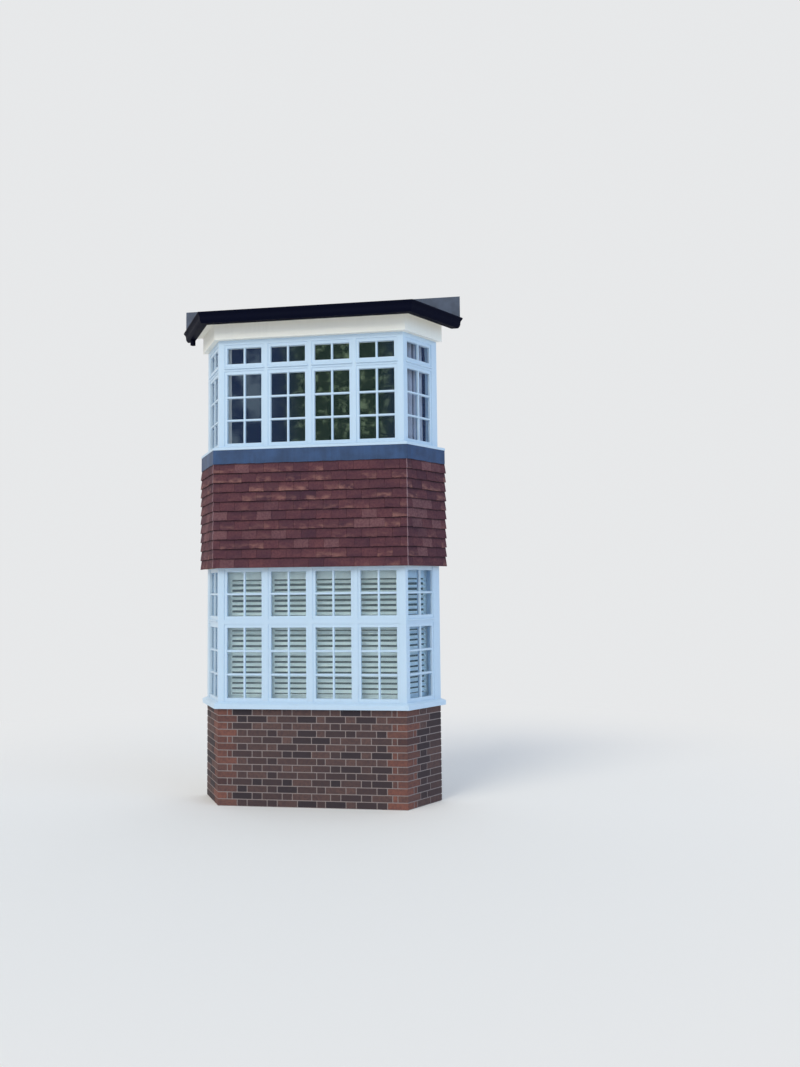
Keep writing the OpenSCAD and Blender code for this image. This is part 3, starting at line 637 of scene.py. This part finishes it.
class BAY_OT_bricks(bpy.types.Operator):
    """Lay the bricks of the plinth on their mortar, which is the plinth's own section, set back
    by the depth of the joints and carried along the bay from wall to wall"""
    bl_idname = "bay.bricks"
    bl_label = "Plinth Bricks"

    def execute(self, context):
        look = context.scene.bay_bricks
        points = node_points("plinth_wall")
        top = float(points[:, 2].max())
        thickness = float(points[points[:, 1] < WALL_Y - SAME_EDGE][:, 1].max()) - FRONT_Y
        outer, inner = BayLine(), BayLine(-thickness)
        leaves = [brick_leaf(outer, -look.header, 0.0, OUTER_SEED, 1.0),
                  brick_leaf(inner, 0.0, look.header, INNER_SEED, 0.0)]
        rings = np.concatenate([leaf[0] for leaf in leaves])
        shades = np.concatenate([leaf[1] for leaf in leaves])
        shades = np.repeat(shades, rings.shape[1] * rings.shape[2], axis=0)
        bricks = add_piece("plinth_bricks", rings, ring_faces(rings), fired_bricks("Stock brick", look),
                           ["plinth_wall"], shades)
        add_bevel(bricks, BRICK_EDGE)
        edge = np.array([-look.recess, -look.recess, look.recess - thickness, look.recess - thickness])
        height = np.array([0.0, top, top, 0.0])
        core = outer.place(outer.knots[None, :, None], edge, height)
        core[:, 0, :, :2] += look.recess * outer.along[0]
        core[:, -1, :, :2] -= look.recess * outer.along[-1]
        add_piece("plinth_mortar", core, ring_faces(core), plain_plaster("Lime mortar", look.mortar, 70.0))
        return {"FINISHED"}


# Tiles

# How far a tile's tail is cut back and its face bows out
TAIL_EDGE, TILE_BOW = 0.0025, 0.0012
# Half width of the corner mortar as a share of the joint, and how far it lies behind the tiles
MORTAR_SHARE, MORTAR_INSET = 0.6, 0.001
# Foot and top of the fillet under the lowest course, and how far it lies behind the tails
FILLET_FOOT, FILLET_TOP, FILLET_INSET = 0.004, 0.030, 0.016
# Courses from the top between which more tiles have orange patches, and how far their hue rises
PATCHY_FROM, PATCHY_TO, PATCHY_HUE = 4, 1, 0.35
TILE_SEED = 11


def tile_section(look, gauge, lean):
    """Section of a hung tile as distance out from its tail's face and height above its tail:
    a rounded tail, a face that leans back and bows out a little, and a plain back."""
    full = gauge + look.lap
    height = np.array([0.0, 0.0, TAIL_EDGE, 0.35 * full, gauge, full, full])
    face = -lean * height + TILE_BOW * np.sin(np.pi * height / full)
    out = face + np.array([-look.thickness, -TAIL_EDGE, 0.0, 0.0, 0.0, 0.0, -look.thickness])
    return out, height, np.clip(height / gauge, 0.0, 1.0)


def tile_cuts(line, half_bond, look):
    """Joints right round a course. Tiles meet at the corners, equal tiles fill the front, half
    a tile out of step with the course below by turns, and a cut tile ends each side."""
    first, second, last = line.knots[1:]
    count = round((second - first) / look.width)
    wide = (second - first) / count
    step = wide / 2 if half_bond else wide
    front = np.concatenate([[first], np.arange(first + step, second - wide / 4, wide), [second]])
    side = np.arange(second + step, last - wide / 4, wide)
    return np.concatenate([[0.0], (first + second - side)[::-1], front, side, [last]])


class BAY_OT_tiles(bpy.types.Operator):
    """Hang the tiles on the apron and point its corners with mortar, which is the tiles' own
    section, set back a little and carried round each corner. The fillet under the lowest course
    is an upright rectangle carried along the bay"""
    bl_idname = "bay.tiles"
    bl_label = "Hung Tiles"

    def execute(self, context):
        look = context.scene.bay_tiles
        low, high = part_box("tiles_front")
        gauge = (high.z - low.z - look.lap) / look.courses
        out = FRONT_Y - low.y
        line = BayLine(out)
        section, height, place = tile_section(look, gauge, look.step / gauge)
        corner = line.knots[1:3, None] + look.corner_gap * np.array([-MORTAR_SHARE, 0.0, MORTAR_SHARE])
        inset = np.where(section > -look.thickness / 2, -look.wobble - MORTAR_INSET, 0.0)
        draw = np.random.default_rng(TILE_SEED)
        rings, shades, pointing = [], [], []
        for course in range(look.courses):
            stations = units_on(line, tile_cuts(line, course % 2 == 0, look), look.gap, look.corner_gap)
            count = len(stations)
            tilt = draw.uniform(-look.wobble, look.wobble, (count, 3, 1))
            drop = draw.uniform(-look.sag, look.sag, (count, 3, 1))
            foot = low.z + course * gauge + height
            rings.append(line.place(stations[:, :, None], section + tilt, foot + drop * (course > 0)))
            pointing.append(line.place(corner[:, :, None], section + inset, foot))
            patchy = course in range(look.courses - PATCHY_FROM, look.courses - PATCHY_TO)
            hue = np.minimum(draw.random(count) + PATCHY_HUE * patchy, 1.0)
            random = np.stack([draw.beta(1.5, 1.3, count), hue], 1)
            spread = np.broadcast_to(random[:, None, None, :], (count, 3, len(place), 2))
            along = np.broadcast_to(place[None, None, :, None], (count, 3, len(place), 1))
            shades.append(np.concatenate([spread, along], axis=-1).reshape(-1, 3))
        rings = np.concatenate(rings)
        add_piece("hung_tiles", rings, ring_faces(rings), clay_tiles("Hand-made tile", look),
                  ["tiles_left", "tiles_front", "tiles_right"], np.concatenate(shades))
        pointing = np.concatenate(pointing)
        add_piece("corner_pointing", pointing, ring_faces(pointing),
                  plain_plaster("Corner mortar", look.pointing, 70.0))
        under = np.array([0.0, out - FILLET_INSET, out - FILLET_INSET, 0.0])
        level = low.z + np.array([FILLET_FOOT, FILLET_FOOT, FILLET_TOP, FILLET_TOP])
        fillet = BayLine().place(BayLine().knots[None, :, None], under, level)
        add_piece("tile_fillet", fillet, ring_faces(fillet),
                  sawn_timber("Tilting fillet", context.scene.bay_paint.timber))
        return {"FINISHED"}


# Glazing bars

# Depths behind the frame face: front of a sash, both faces of the glass, back of a sash
SASH_FRONT, GLASS_FRONT, GLASS_BACK, SASH_BACK = 0.006, 0.0255, 0.0315, 0.051
# How far the edge of a pane goes into its groove
GROOVE = 0.0087
# How far the bars along a light lie behind those up it, so that no faces coincide
BAR_STEP = 0.0006
# How much wider a bar is at the glass than at its face indoors, and how thick that part is
BAR_SHOULDER, BAR_FILLET = 0.002, 0.006
# How far the face of a bar and the edge of the putty lie behind the front of a sash
BAR_INSET, PUTTY_INSET = 0.001, 0.003
# How far a pane's corners may lie from the middle of the glass, and the least rise between rows
PANE_REACH, ROW_RISE = 0.01, 0.1


def lights_of(node, side):
    """The clear openings of the panes of a node on one side of the bay: start and end along
    the side, foot and top. A pane's corners, less the groove, give its opening."""
    line = BayLine()
    points = node_points(node)
    flat = points[:, :2] - line.corners[side]
    along, out = flat @ line.along[side], flat @ line.outward[side]
    mine = (np.abs(out + (GLASS_FRONT + GLASS_BACK) / 2) < PANE_REACH) & (along > 0) \
        & (along < line.knots[side + 1] - line.knots[side])
    heights = np.unique(points[mine, 2].round(4)).reshape(-1, 2)
    lights = []
    for foot, top in heights:
        row = mine & (points[:, 2] > foot - SAME_EDGE) & (points[:, 2] < top + SAME_EDGE)
        for start, end in np.unique(along[row].round(3)).reshape(-1, 2):
            lights.append((start + GROOVE, end - GROOVE, foot + GROOVE, top - GROOVE))
    return np.array(lights)


def on_side(side, along, depth, z):
    """Points on a side of the bay, depth behind the frame face."""
    line = BayLine()
    along, depth, z = np.broadcast_arrays(along, depth, z)
    flat = line.corners[side] + along[..., None] * line.along[side] - depth[..., None] * line.outward[side]
    return np.concatenate([flat, z[..., None]], axis=-1)


def bar_rings(side, lights, rows, across, depth):
    """Bars of a row of lights: a section of widths and depths carried up the middle of each
    light and along it between its rows."""
    start, end, foot, top = (lights[:, k, None] for k in range(4))
    upright = (start + (end - start) / 2).reshape(-1, 1, 1)
    feet = np.stack([foot, top], -1).reshape(-1, 2, 1)
    rings = [on_side(side, upright + across, depth, feet)]
    if rows > 1:
        split = np.arange(1, rows) / rows
        level = (foot + (top - foot) * split).reshape(-1, 1, 1)
        ends = np.stack([np.repeat(start, rows - 1, 1), np.repeat(end, rows - 1, 1)], -1).reshape(-1, 2, 1)
        behind = depth + BAR_STEP * ((depth < GLASS_FRONT) * 1.0 - (depth > GLASS_BACK))
        rings.append(on_side(side, ends, behind, level + across))
    return np.concatenate(rings)


def border_rings(side, lights, inward, depth):
    """A section carried round each light with mitred corners."""
    start, end, foot, top = (lights[:, k, None] for k in range(4))
    along = np.stack([start + inward, end - inward, end - inward, start + inward], 1)
    z = np.stack([foot + inward, foot + inward, top - inward, top - inward], 1)
    return on_side(side, along, depth, z)


class BAY_OT_glazing(bpy.types.Operator):
    """Fit glazing bars and putty to every light, outside and inside"""
    bl_idname = "bay.glazing"
    bl_label = "Glazing Bars"

    def execute(self, context):
        look = context.scene.bay_glazing
        face, foot = look.bar_face / 2, look.bar_foot / 2
        near = SASH_FRONT + BAR_INSET
        outside = (np.array([-foot, -face, face, foot]), np.array([GLASS_FRONT, near, near, GLASS_FRONT]))
        wide, deep = face + BAR_SHOULDER, GLASS_BACK + BAR_FILLET
        inside = (np.array([-wide, -wide, -face / 2, face / 2, wide, wide]),
                  np.array([GLASS_BACK, deep, SASH_BACK, SASH_BACK, deep, GLASS_BACK]))
        putty = (np.array([0.0, 0.0, look.putty]),
                 np.array([SASH_FRONT + PUTTY_INSET, GLASS_FRONT, GLASS_FRONT]))
        # The bars share the window white and its painted cast of blue sky shade
        material = paint("Glazing bar paint", context.scene.bay_paint.white, 0.3)
        for storey, rows_above in (("lower", 2), ("upper", 1)):
            bars, borders = [], []
            for side, node in enumerate(("side", "front", "side")):
                lights = lights_of(f"{storey}_{node}_glass", side)
                below = lights[:, 2] < lights[:, 2].max() - ROW_RISE
                for row, rows in ((lights[below], 3), (lights[~below], rows_above)):
                    bars += [bar_rings(side, row, rows, *section) for section in (outside, inside)]
                borders.append(border_rings(side, lights, *putty))
            points, faces = [], []
            for rings in bars:
                offset = sum(len(p) for p in points)
                faces += [[k + offset for k in f] for f in ring_faces(rings)]
                points.append(rings.reshape(-1, 3))
            add_piece(f"{storey}_glazing_bars", np.concatenate(points), faces, material)
            frames = np.concatenate(borders)
            add_piece(f"{storey}_putty", frames, ring_faces(frames, loop=True), material)
        return {"FINISHED"}


# Lead

# Distance from the wall to the upper ends of the rolls, under the edge of the wall flashing
ROLL_TOP = 0.112
# Distance between two sections of the apron's lead, which keep clear of its corners and ends so
# that the part tucked in behind doesn't fold over itself or pass the wall
LEAD_STEP = 0.015
# Points up each face of the apron's lead
LEAD_ROWS = 9
# Waves along the apron's lead, each as its rate, size and shift
LEAD_WAVES = ((9.0, 1.0, 0.5), (23.0, 0.7, 1.7), (51.0, 0.4, 0.0))
# How far the lead's lower edge waves up and down, and how far down it may go
HEM_WAVE, HEM_LIMIT = 0.0016, 0.003


def roll_lines():
    """Where the rolls lie on the roof, as their low and high ends: one on each hip, and others
    up the front slope at equal steps. The roof rises evenly with the distance in from its edge."""
    look = settings("bay_lead")
    points = node_points("roof_lead")
    low, high = points.min(0), points.max(0)
    edge = float(points[points[:, 1] < low[1] + SAME_FACE][:, 2].max())
    out = FRONT_Y - low[1]
    deep = WALL_Y - low[1]
    fall = (high[2] - edge) / deep
    near, far = look.roll_width / 2, deep - ROLL_TOP
    corners = [BayLine(out - inward).corners[1:3] for inward in (near, far)]
    count = round((corners[1][1, 0] - corners[1][0, 0]) / look.roll_spacing)
    across = np.linspace(corners[1][0, 0], corners[1][1, 0], count + 2)[1:-1]
    feet = [(x, low[1] + near) for x in across] + [tuple(c) for c in corners[0]]
    heads = [(x, low[1] + far) for x in across] + [tuple(c) for c in corners[1]]
    return [((*foot, edge + fall * near), (*head, edge + fall * far)) for foot, head in zip(feet, heads)]


def roof_roll(start, end):
    """A roll of lead from one point to another: an arch, out to the side by a cosine and up by
    a sine to the power 0.7, carried up the roof and drawn down to a rounded end at its foot."""
    look = settings("bay_lead")
    start, end = np.array(start), np.array(end)
    run = end - start
    side = np.array([-run[1], run[0], 0.0]) / np.hypot(run[0], run[1])
    turn = np.linspace(0.0, np.pi, 11)
    arch = np.cos(turn)[:, None] * side * look.roll_width / 2 \
        + np.sin(turn)[:, None] ** 0.7 * np.array([0.0, 0.0, look.roll_height])
    arch = np.concatenate([arch, arch[[-1, 0]] - np.array([0.0, 0.0, look.sheet])])
    share = np.array([0.0, 0.012, 0.045, 0.30, 0.65, 1.0])
    swell = np.array([0.35, 0.80, 1.0, 1.0, 1.0, 1.0])
    return (start + share[:, None, None] * run + swell[:, None, None] * arch)[None]


def lead_sheet():
    """The apron's lead: a section up its face, in under the sill and down again behind, carried
    along the bay. It stands out by the size of a sum of three sines of the distance along the
    bay, which fades towards the top by a square, and its lower edge waves by two sines more."""
    look = settings("bay_lead")
    low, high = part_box("lead_apron")
    face = FRONT_Y - low.y
    line = BayLine(face)
    tuck = -look.tuck - face
    clear = -tuck * max(CORNER_SHIFT, 1 / math.tan(CANT_ANGLE)) + look.sheet
    spans = [np.linspace(a + clear, b - clear, round((b - a) / LEAD_STEP))
             for a, b in zip(line.knots[:-1], line.knots[1:])]
    t = np.sort(np.concatenate([line.knots, *spans]))
    up = np.linspace(0.0, 1.0, LEAD_ROWS)
    out = np.concatenate([np.zeros(LEAD_ROWS), [tuck, tuck], np.full(LEAD_ROWS, -look.sheet)])
    level = np.concatenate([low.z + up * (high.z - low.z), [high.z, high.z - look.sheet],
                            low.z + up[::-1] * (high.z - look.sheet - low.z)])
    loose = np.concatenate([1 - up ** 2, [0.0, 0.0], 1 - up[::-1] ** 2])
    wave = sum(size * np.sin(t * rate + shift) for rate, size, shift in LEAD_WAVES)
    dent = look.ripple * 0.5 * wave[:, None] * loose
    edge = -HEM_WAVE * (np.sin(t * 12.0) + np.sin(t * 31.0 + 2.0))[:, None] * loose ** 4
    return line.place(t[:, None], out + np.abs(dent), level + np.maximum(edge, -HEM_LIMIT))[None]


class BAY_OT_lead(bpy.types.Operator):
    """Dress the lead over the top of the tiles and over the rolls of the roof"""
    bl_idname = "bay.lead"
    bl_label = "Lead"

    def execute(self, context):
        look = context.scene.bay_lead
        rings = lead_sheet()
        add_piece("lead_sheet", rings, ring_faces(rings), weathered_lead("Apron lead", look.colour),
                  ["lead_apron"], smooth=40)
        rolls = np.concatenate([roof_roll(start, end) for start, end in roll_lines()])
        add_piece("lead_rolls", rolls, ring_faces(rolls), weathered_lead("Roll lead", look.roof),
                  smooth=50)
        return {"FINISHED"}


# Curtains

# Points along a curtain and up it, how many to each side round its corner, and its thickness
CLOTH_COLUMNS, CLOTH_ROWS, CORNER_REACH, CLOTH_THICKNESS = 400, 60, 20, 0.0014
# Share of the height over which the folds deepen from the heading tape down
TAPE_SHARE = 0.22


def curtain_path(mirror):
    """The middle line of a curtain in plan, its outward normals and its length. It starts at
    the inner end of the curtain's solid, goes round the corner of the bay and ends near the
    wall, with the corner rounded by an average of its neighbours."""
    look = settings("bay_curtains")
    points = node_points("curtain_right")
    inner = points[points[:, 0] < points[:, 0].min() + SAME_FACE]
    line = BayLine(FRONT_Y - (inner[:, 1].min() + inner[:, 1].max()) / 2)
    start = line.knots[1] + inner[0, 0] - line.corners[1, 0]
    end = line.knots[3] - (WALL_Y - points[:, 1].max() + look.wall_gap) / line.along[2, 1]
    flat = line.place(np.linspace(start, end, CLOTH_COLUMNS), 0.0, 0.0)[:, :2]
    steps = np.arange(1, CORNER_REACH + 1)[:, None]
    padded = np.concatenate([flat[:1] - (flat[1] - flat[0]) * steps[::-1], flat,
                             flat[-1:] + (flat[-1] - flat[-2]) * steps])
    kernel = np.ones(2 * CORNER_REACH + 1) / (2 * CORNER_REACH + 1)
    flat = np.stack([np.convolve(padded[:, k], kernel, "valid") for k in range(2)], 1)
    ahead = np.gradient(flat, axis=0)
    normal = np.stack([ahead[:, 1], -ahead[:, 0]], 1) / np.linalg.norm(ahead, axis=1)[:, None]
    flip = np.array([-1.0, 1.0]) if mirror else 1.0
    return flat * flip, normal * flip, end - start


def gathered_curtain(name, mirror, material):
    """A curtain from its flat cloth: out of the path by a sine of the distance along it, whose
    depth grows from the heading tape down and whose folds drift and swell a little. The last
    fold by the wall stands towards the glass."""
    look = settings("bay_curtains")
    low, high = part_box(name)
    flat, normal, reach = curtain_path(mirror)
    rows, columns = CLOTH_ROWS, CLOTH_COLUMNS
    u = np.linspace(0.0, 1.0, columns)[None, :]
    v = np.linspace(0.0, 1.0, rows)[:, None]
    folds = round(reach / look.fold) + 0.25
    drift = 4 * u * (1 - u) * (0.13 * np.sin(7.0 * u + (3.0 if mirror else 1.0)) + 0.10 * v * np.sin(5.0 * u))
    phase = 2 * np.pi * (folds * u + drift)
    fall = np.clip(v / TAPE_SHARE, 0.0, 1.0)
    depth = look.depth * (0.55 + 0.45 * fall ** 2 * (3 - 2 * fall)) * (0.90 + 0.10 * np.sin(11.0 * u + 2.0))
    wave = depth * (np.sin(phase) + 0.12 * np.sin(2 * phase + 4.0 * v))
    points = np.empty((rows, columns, 3))
    points[..., :2] = flat + wave[..., None] * normal
    points[..., 2] = high.z + (low.z - high.z) * v + 0.002 * np.sin(phase) * v
    index = np.arange(rows * columns).reshape(rows, columns)
    quads = np.stack([index[:-1, :-1], index[:-1, 1:], index[1:, 1:], index[1:, :-1]], -1).reshape(-1, 4)
    # How far forward each point lies in its fold, which sets the painted fold shade
    forward = np.zeros((rows, columns, 3))
    forward[..., 0] = 0.5 + 0.5 * np.sin(phase)
    curtain = add_piece(f"gathered_{name}", points, quads.tolist(), material, [name],
                        forward, smooth=180)
    width = np.linalg.norm(np.diff(points[..., :2], axis=1), axis=-1)
    across = np.concatenate([np.zeros((rows, 1)), np.cumsum(width, 1)], 1)
    cloth = np.stack([across, np.broadcast_to((high.z - low.z) * (1 - v), across.shape)], -1)
    layer = curtain.data.uv_layers.new(name="Cloth")
    corners = np.empty(len(curtain.data.loops), int)
    curtain.data.loops.foreach_get("vertex_index", corners)
    layer.data.foreach_set("uv", cloth.reshape(-1, 2)[corners].ravel())
    thick = curtain.modifiers.new("Cloth thickness", "SOLIDIFY")
    thick.thickness = CLOTH_THICKNESS
    thick.offset = 0.0


class BAY_OT_curtains(bpy.types.Operator):
    """Hang a gathered curtain from the rail at each side"""
    bl_idname = "bay.curtains"
    bl_label = "Curtains"

    def execute(self, context):
        look = context.scene.bay_curtains
        material = woven_cloth("Curtain cloth", look.cloth, look.painted_fold_shade)
        gathered_curtain("curtain_left", True, material)
        gathered_curtain("curtain_right", False, material)
        return {"FINISHED"}


# Floor

# Depth of the window frames, behind which the boards begin
FRAME_DEPTH = 0.095
# Number of boards, the gap between two of them, and how far their edges are cut back
BOARDS, BOARD_GAP, BOARD_EDGE = 4, 0.0015, 0.0012


class BAY_OT_floorboards(bpy.types.Operator):
    """Lay the boards of the upper floor: flat boxes at equal steps from front to back, whose
    ends follow the slant of the bay's sides"""
    bl_idname = "bay.floorboards"
    bl_label = "Floorboards"

    def execute(self, context):
        low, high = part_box("upper_floor")
        edges = np.linspace(low.y, high.y, BOARDS + 1)
        corners = BayLine(-FRAME_DEPTH).corners[2:]
        near, far = edges[:-1] + BOARD_GAP / 2, edges[1:] - BOARD_GAP / 2
        y = np.stack([near, far, far, near], 1)
        half = np.interp(y, corners[:, 1], corners[:, 0])
        z = np.broadcast_to([low.z, low.z, high.z, high.z], y.shape)
        rings = np.stack([np.stack([-half, y, z], -1), np.stack([half, y, z], -1)], 1)
        material = sawn_timber("Floorboard", context.scene.bay_paint.timber)
        boards = add_piece("floorboards", rings, ring_faces(rings), material, ["upper_floor"])
        add_bevel(boards, BOARD_EDGE)
        return {"FINISHED"}


# Stage

# Radii of the floor's rings, points in each, and how far the floor lies under the bay
FLOOR_RADII, FLOOR_POINTS, FLOOR_DROP = (4.0, 12.0, 60.0), 64, 0.0008
# How far the cards of painted room shade lie behind the wall plane
CARD_GAP = 0.002
# Colours of the cards of painted room shade: at the sides, of the painted reflection patches there, in the
# middle and of the painted reflection specks
LOWER_ROOM_PAINTED_SHADE_AND_REFLECTION = ((0.055, 0.085, 0.105), (0.095, 0.135, 0.150), (0.055, 0.085, 0.095), (0.095, 0.135, 0.150))
UPPER_ROOM_PAINTED_SHADE_AND_REFLECTION = ((0.012, 0.024, 0.062), (0.080, 0.108, 0.150), (0.014, 0.028, 0.022), (0.125, 0.165, 0.105))
# Where the part of a card speckled with painted reflection has its middle, and how far from it that part fades
# out
SPECKLED_MIDDLE, SPECKLED_NEAR, SPECKLED_FAR = 0.25, 0.35, 0.85
# Yaw, pitch and roll of the camera in degrees, and its place
CAMERA_TURN, CAMERA_PLACE = (-8.555, 3.640, -0.605), (2.424, -9.621, 2.325)


def show_background(tree, colour, other, mask=None):
    """A shader that shows a plain colour to the eye, also in metal and through glass, and is
    another shader to all other light."""
    path = tree.nodes.new("ShaderNodeLightPath").outputs
    seen = calculate(tree, "ADD", path["Is Camera Ray"], path["Is Glossy Ray"])
    seen = calculate(tree, "ADD", seen, path["Is Transmission Ray"])
    if mask is not None:
        seen = calculate(tree, "MULTIPLY", seen, mask)
    plain = add_node(tree, "ShaderNodeEmission", {"Color": colour, "Strength": 1.0})
    return add_node(tree, "ShaderNodeMixShader", {0: seen, 1: other, 2: plain.outputs[0]}).outputs[0]


def add_floor(pale, ground):
    """A round floor that keeps the shadow of the bay and fades into the background: rings of
    points at equal angles, joined to a point in the middle."""
    turn = np.linspace(0, 2 * np.pi, FLOOR_POINTS, endpoint=False)
    ring = np.stack([np.cos(turn), np.sin(turn), np.zeros(FLOOR_POINTS)], 1)
    rings = np.array(FLOOR_RADII)[:, None, None] * ring
    points = np.concatenate([[[0.0, 0.0, 0.0]], rings.reshape(-1, 3)])
    points[:, 2] = -FLOOR_DROP
    index = 1 + np.arange(rings.size // 3).reshape(rings.shape[:2])
    middle = np.stack([np.zeros(FLOOR_POINTS, int), index[0], np.roll(index[0], -1)], 1)
    quads = np.stack([index[:-1], index[1:], np.roll(index[1:], -1, 1), np.roll(index[:-1], -1, 1)], -1)
    faces = middle.tolist() + quads.reshape(-1, 4).tolist()
    material, tree, shader, here = new_material("Pale floor", 0.9)
    shader.inputs["Base Color"].default_value = rgba(ground)
    distance = add_node(tree, "ShaderNodeVectorMath", {0: here}, operation="LENGTH").outputs["Value"]
    look = show_background(tree, rgba(pale), shader.outputs[0], ramp_value(tree, distance, 3.0, 9.0))
    tree.links.new(look, tree.nodes["Material Output"].inputs["Surface"])
    floor = add_object("floor", new_mesh("floor", points, faces, material))


def add_painted_room_card(name, foot, top, sides, patch, middle, painted_reflection_colour):
    """A card behind one storey, seen only through glass, that glows with painted shade in place of
    the unlit room: one dark colour with brighter specks of painted reflection in the middle, and a
    plain one towards the sides, with paler patches of painted reflection at the left."""
    points = np.array([(x, WALL_Y + CARD_GAP, z) for x, z in (
        (-HALF_WALL, foot), (HALF_WALL, foot), (HALF_WALL, top), (-HALF_WALL, top))])
    material, tree, _, here = new_material(name)
    across = add_node(tree, "ShaderNodeSeparateXYZ", {0: here}).outputs["X"]
    away = calculate(tree, "SUBTRACT", across, SPECKLED_MIDDLE, clamp=False)
    away = calculate(tree, "ABSOLUTE", away, clamp=False)
    # Painted reflection: brighter specks in the middle of the card
    specks = ramp_value(tree, noise(tree, here, 11.0, 8.0, 0.70), 0.50, 0.66)
    shade = mix_colours(tree, specks, rgba(middle), rgba(painted_reflection_colour))
    # Painted reflection: paler patches towards the left
    patches = calculate(tree, "MULTIPLY", ramp_value(tree, noise(tree, here, 3.2, 3.0), 0.46, 0.66),
                        ramp_value(tree, across, -0.45, -0.80))
    plain = mix_colours(tree, patches, rgba(sides), rgba(patch))
    shade = mix_colours(tree, ramp_value(tree, away, SPECKLED_NEAR, SPECKLED_FAR), shade, plain)
    painted_room_glow = add_node(tree, "ShaderNodeEmission", {"Color": shade})
    tree.links.new(painted_room_glow.outputs[0], tree.nodes["Material Output"].inputs["Surface"])
    card = add_object(name, new_mesh(name, points, [(0, 1, 2, 3)], material))
    for ray in ("camera", "diffuse", "glossy", "shadow", "volume_scatter"):
        setattr(card, f"visible_{ray}", False)


def add_sun(name, direction, strength, colour, softness):
    """A broad soft light that shines along a direction."""
    lamp = bpy.data.lights.new(name, "SUN")
    lamp.energy = strength
    lamp.color = colour
    lamp.angle = math.radians(softness)
    sun = add_object(name, lamp)
    sun.rotation_mode = "QUATERNION"
    sun.rotation_quaternion = Vector(direction).to_track_quat("-Z", "Y")


def add_camera(lens):
    """The photographer's place across the street, a little right of the bay. The view turns
    left by the yaw, up by the pitch and leans by the roll."""
    yaw, pitch, roll = (math.radians(a) for a in CAMERA_TURN)
    ahead = Vector((math.sin(yaw) * math.cos(pitch), math.cos(yaw) * math.cos(pitch), math.sin(pitch)))
    right = Vector((math.cos(yaw), -math.sin(yaw), 0.0))
    up = right.cross(ahead)
    level_right = math.cos(roll) * right + math.sin(roll) * up
    level_up = math.cos(roll) * up - math.sin(roll) * right
    data = bpy.data.cameras.new("Camera")
    data.lens, data.sensor_width, data.sensor_fit = lens, 36.0, "AUTO"
    camera = add_object("Camera", data)
    turned = Matrix((level_right, level_up, -ahead)).transposed().to_4x4()
    camera.matrix_world = Matrix.Translation(CAMERA_PLACE) @ turned
    bpy.context.scene.camera = camera


class BAY_OT_stage(bpy.types.Operator):
    """Set up the floor, the background, the lights and the camera"""
    bl_idname = "bay.stage"
    bl_label = "Floor, Light and Camera"

    def execute(self, context):
        scene, look = context.scene, context.scene.bay_stage
        add_camera(look.lens)
        add_floor(look.pale, look.ground)
        # Cards of painted shade and painted reflection behind each storey's glass
        add_painted_room_card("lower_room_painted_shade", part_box("ground_floor")[1].z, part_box("lower_ceiling")[0].z, *LOWER_ROOM_PAINTED_SHADE_AND_REFLECTION)
        add_painted_room_card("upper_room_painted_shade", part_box("upper_floor")[1].z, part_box("upper_ceiling")[0].z, *UPPER_ROOM_PAINTED_SHADE_AND_REFLECTION)
        add_sun("Key light", (0.45, 0.80, -0.62), look.key, (1.0, 0.97, 0.84), 35.0)
        add_sun("Fill light", (-0.85, 0.45, -0.35), look.fill, (0.32, 0.62, 1.0), 50.0)
        scene.world = bpy.data.worlds.new("Plain studio")
        scene.world.use_nodes = True
        tree = scene.world.node_tree
        around = tree.nodes["Background"]
        around.inputs["Color"].default_value = rgba(look.sky)
        around.inputs["Strength"].default_value = look.ambient
        tree.links.new(show_background(tree, rgba(look.pale), around.outputs[0]),
                       tree.nodes["World Output"].inputs["Surface"])
        scene.view_settings.view_transform = "Standard"
        return {"FINISHED"}


# Sidebar and registration


class BAY_PT_panel(bpy.types.Panel):
    """Sizes, colours and pieces of the bay window"""
    bl_idname = "BAY_PT_panel"
    bl_label = "Bay Window"
    bl_space_type = "VIEW_3D"
    bl_region_type = "UI"
    bl_category = "Bay Window"

    def draw(self, context):
        for group in GROUPS:
            box = self.layout.box()
            for name in GROUPS[group].__annotations__:
                box.prop(getattr(context.scene, group), name)
        for step in STEPS:
            self.layout.operator(step.bl_idname)


GROUPS = {
    "bay_bricks": BayBrickSettings, "bay_tiles": BayTileSettings, "bay_glazing": BayGlazingSettings,
    "bay_lead": BayLeadSettings, "bay_curtains": BayCurtainSettings, "bay_paint": BayPaintSettings,
    "bay_stage": BayStageSettings,
}
STEPS = (BAY_OT_stage, BAY_OT_finishes, BAY_OT_bricks, BAY_OT_tiles, BAY_OT_glazing, BAY_OT_lead,
         BAY_OT_curtains, BAY_OT_floorboards)
CLASSES = (*GROUPS.values(), *STEPS, BAY_PT_panel)


def register():
    """Adds the settings, operators and panel."""
    for item in CLASSES:
        bpy.utils.register_class(item)
    for name, group in GROUPS.items():
        setattr(bpy.types.Scene, name, PointerProperty(type=group))


def unregister():
    """Takes them away again."""
    for name in GROUPS:
        delattr(bpy.types.Scene, name)
    for item in reversed(CLASSES):
        bpy.utils.unregister_class(item)


def main():
    """Makes every piece in order."""
    register()
    bpy.ops.bay.stage()
    bpy.ops.bay.finishes()
    bpy.ops.bay.bricks()
    bpy.ops.bay.tiles()
    bpy.ops.bay.glazing()
    bpy.ops.bay.lead()
    bpy.ops.bay.curtains()
    bpy.ops.bay.floorboards()
    bpy.context.view_layer.update()


if __name__ == "__main__":
    main()
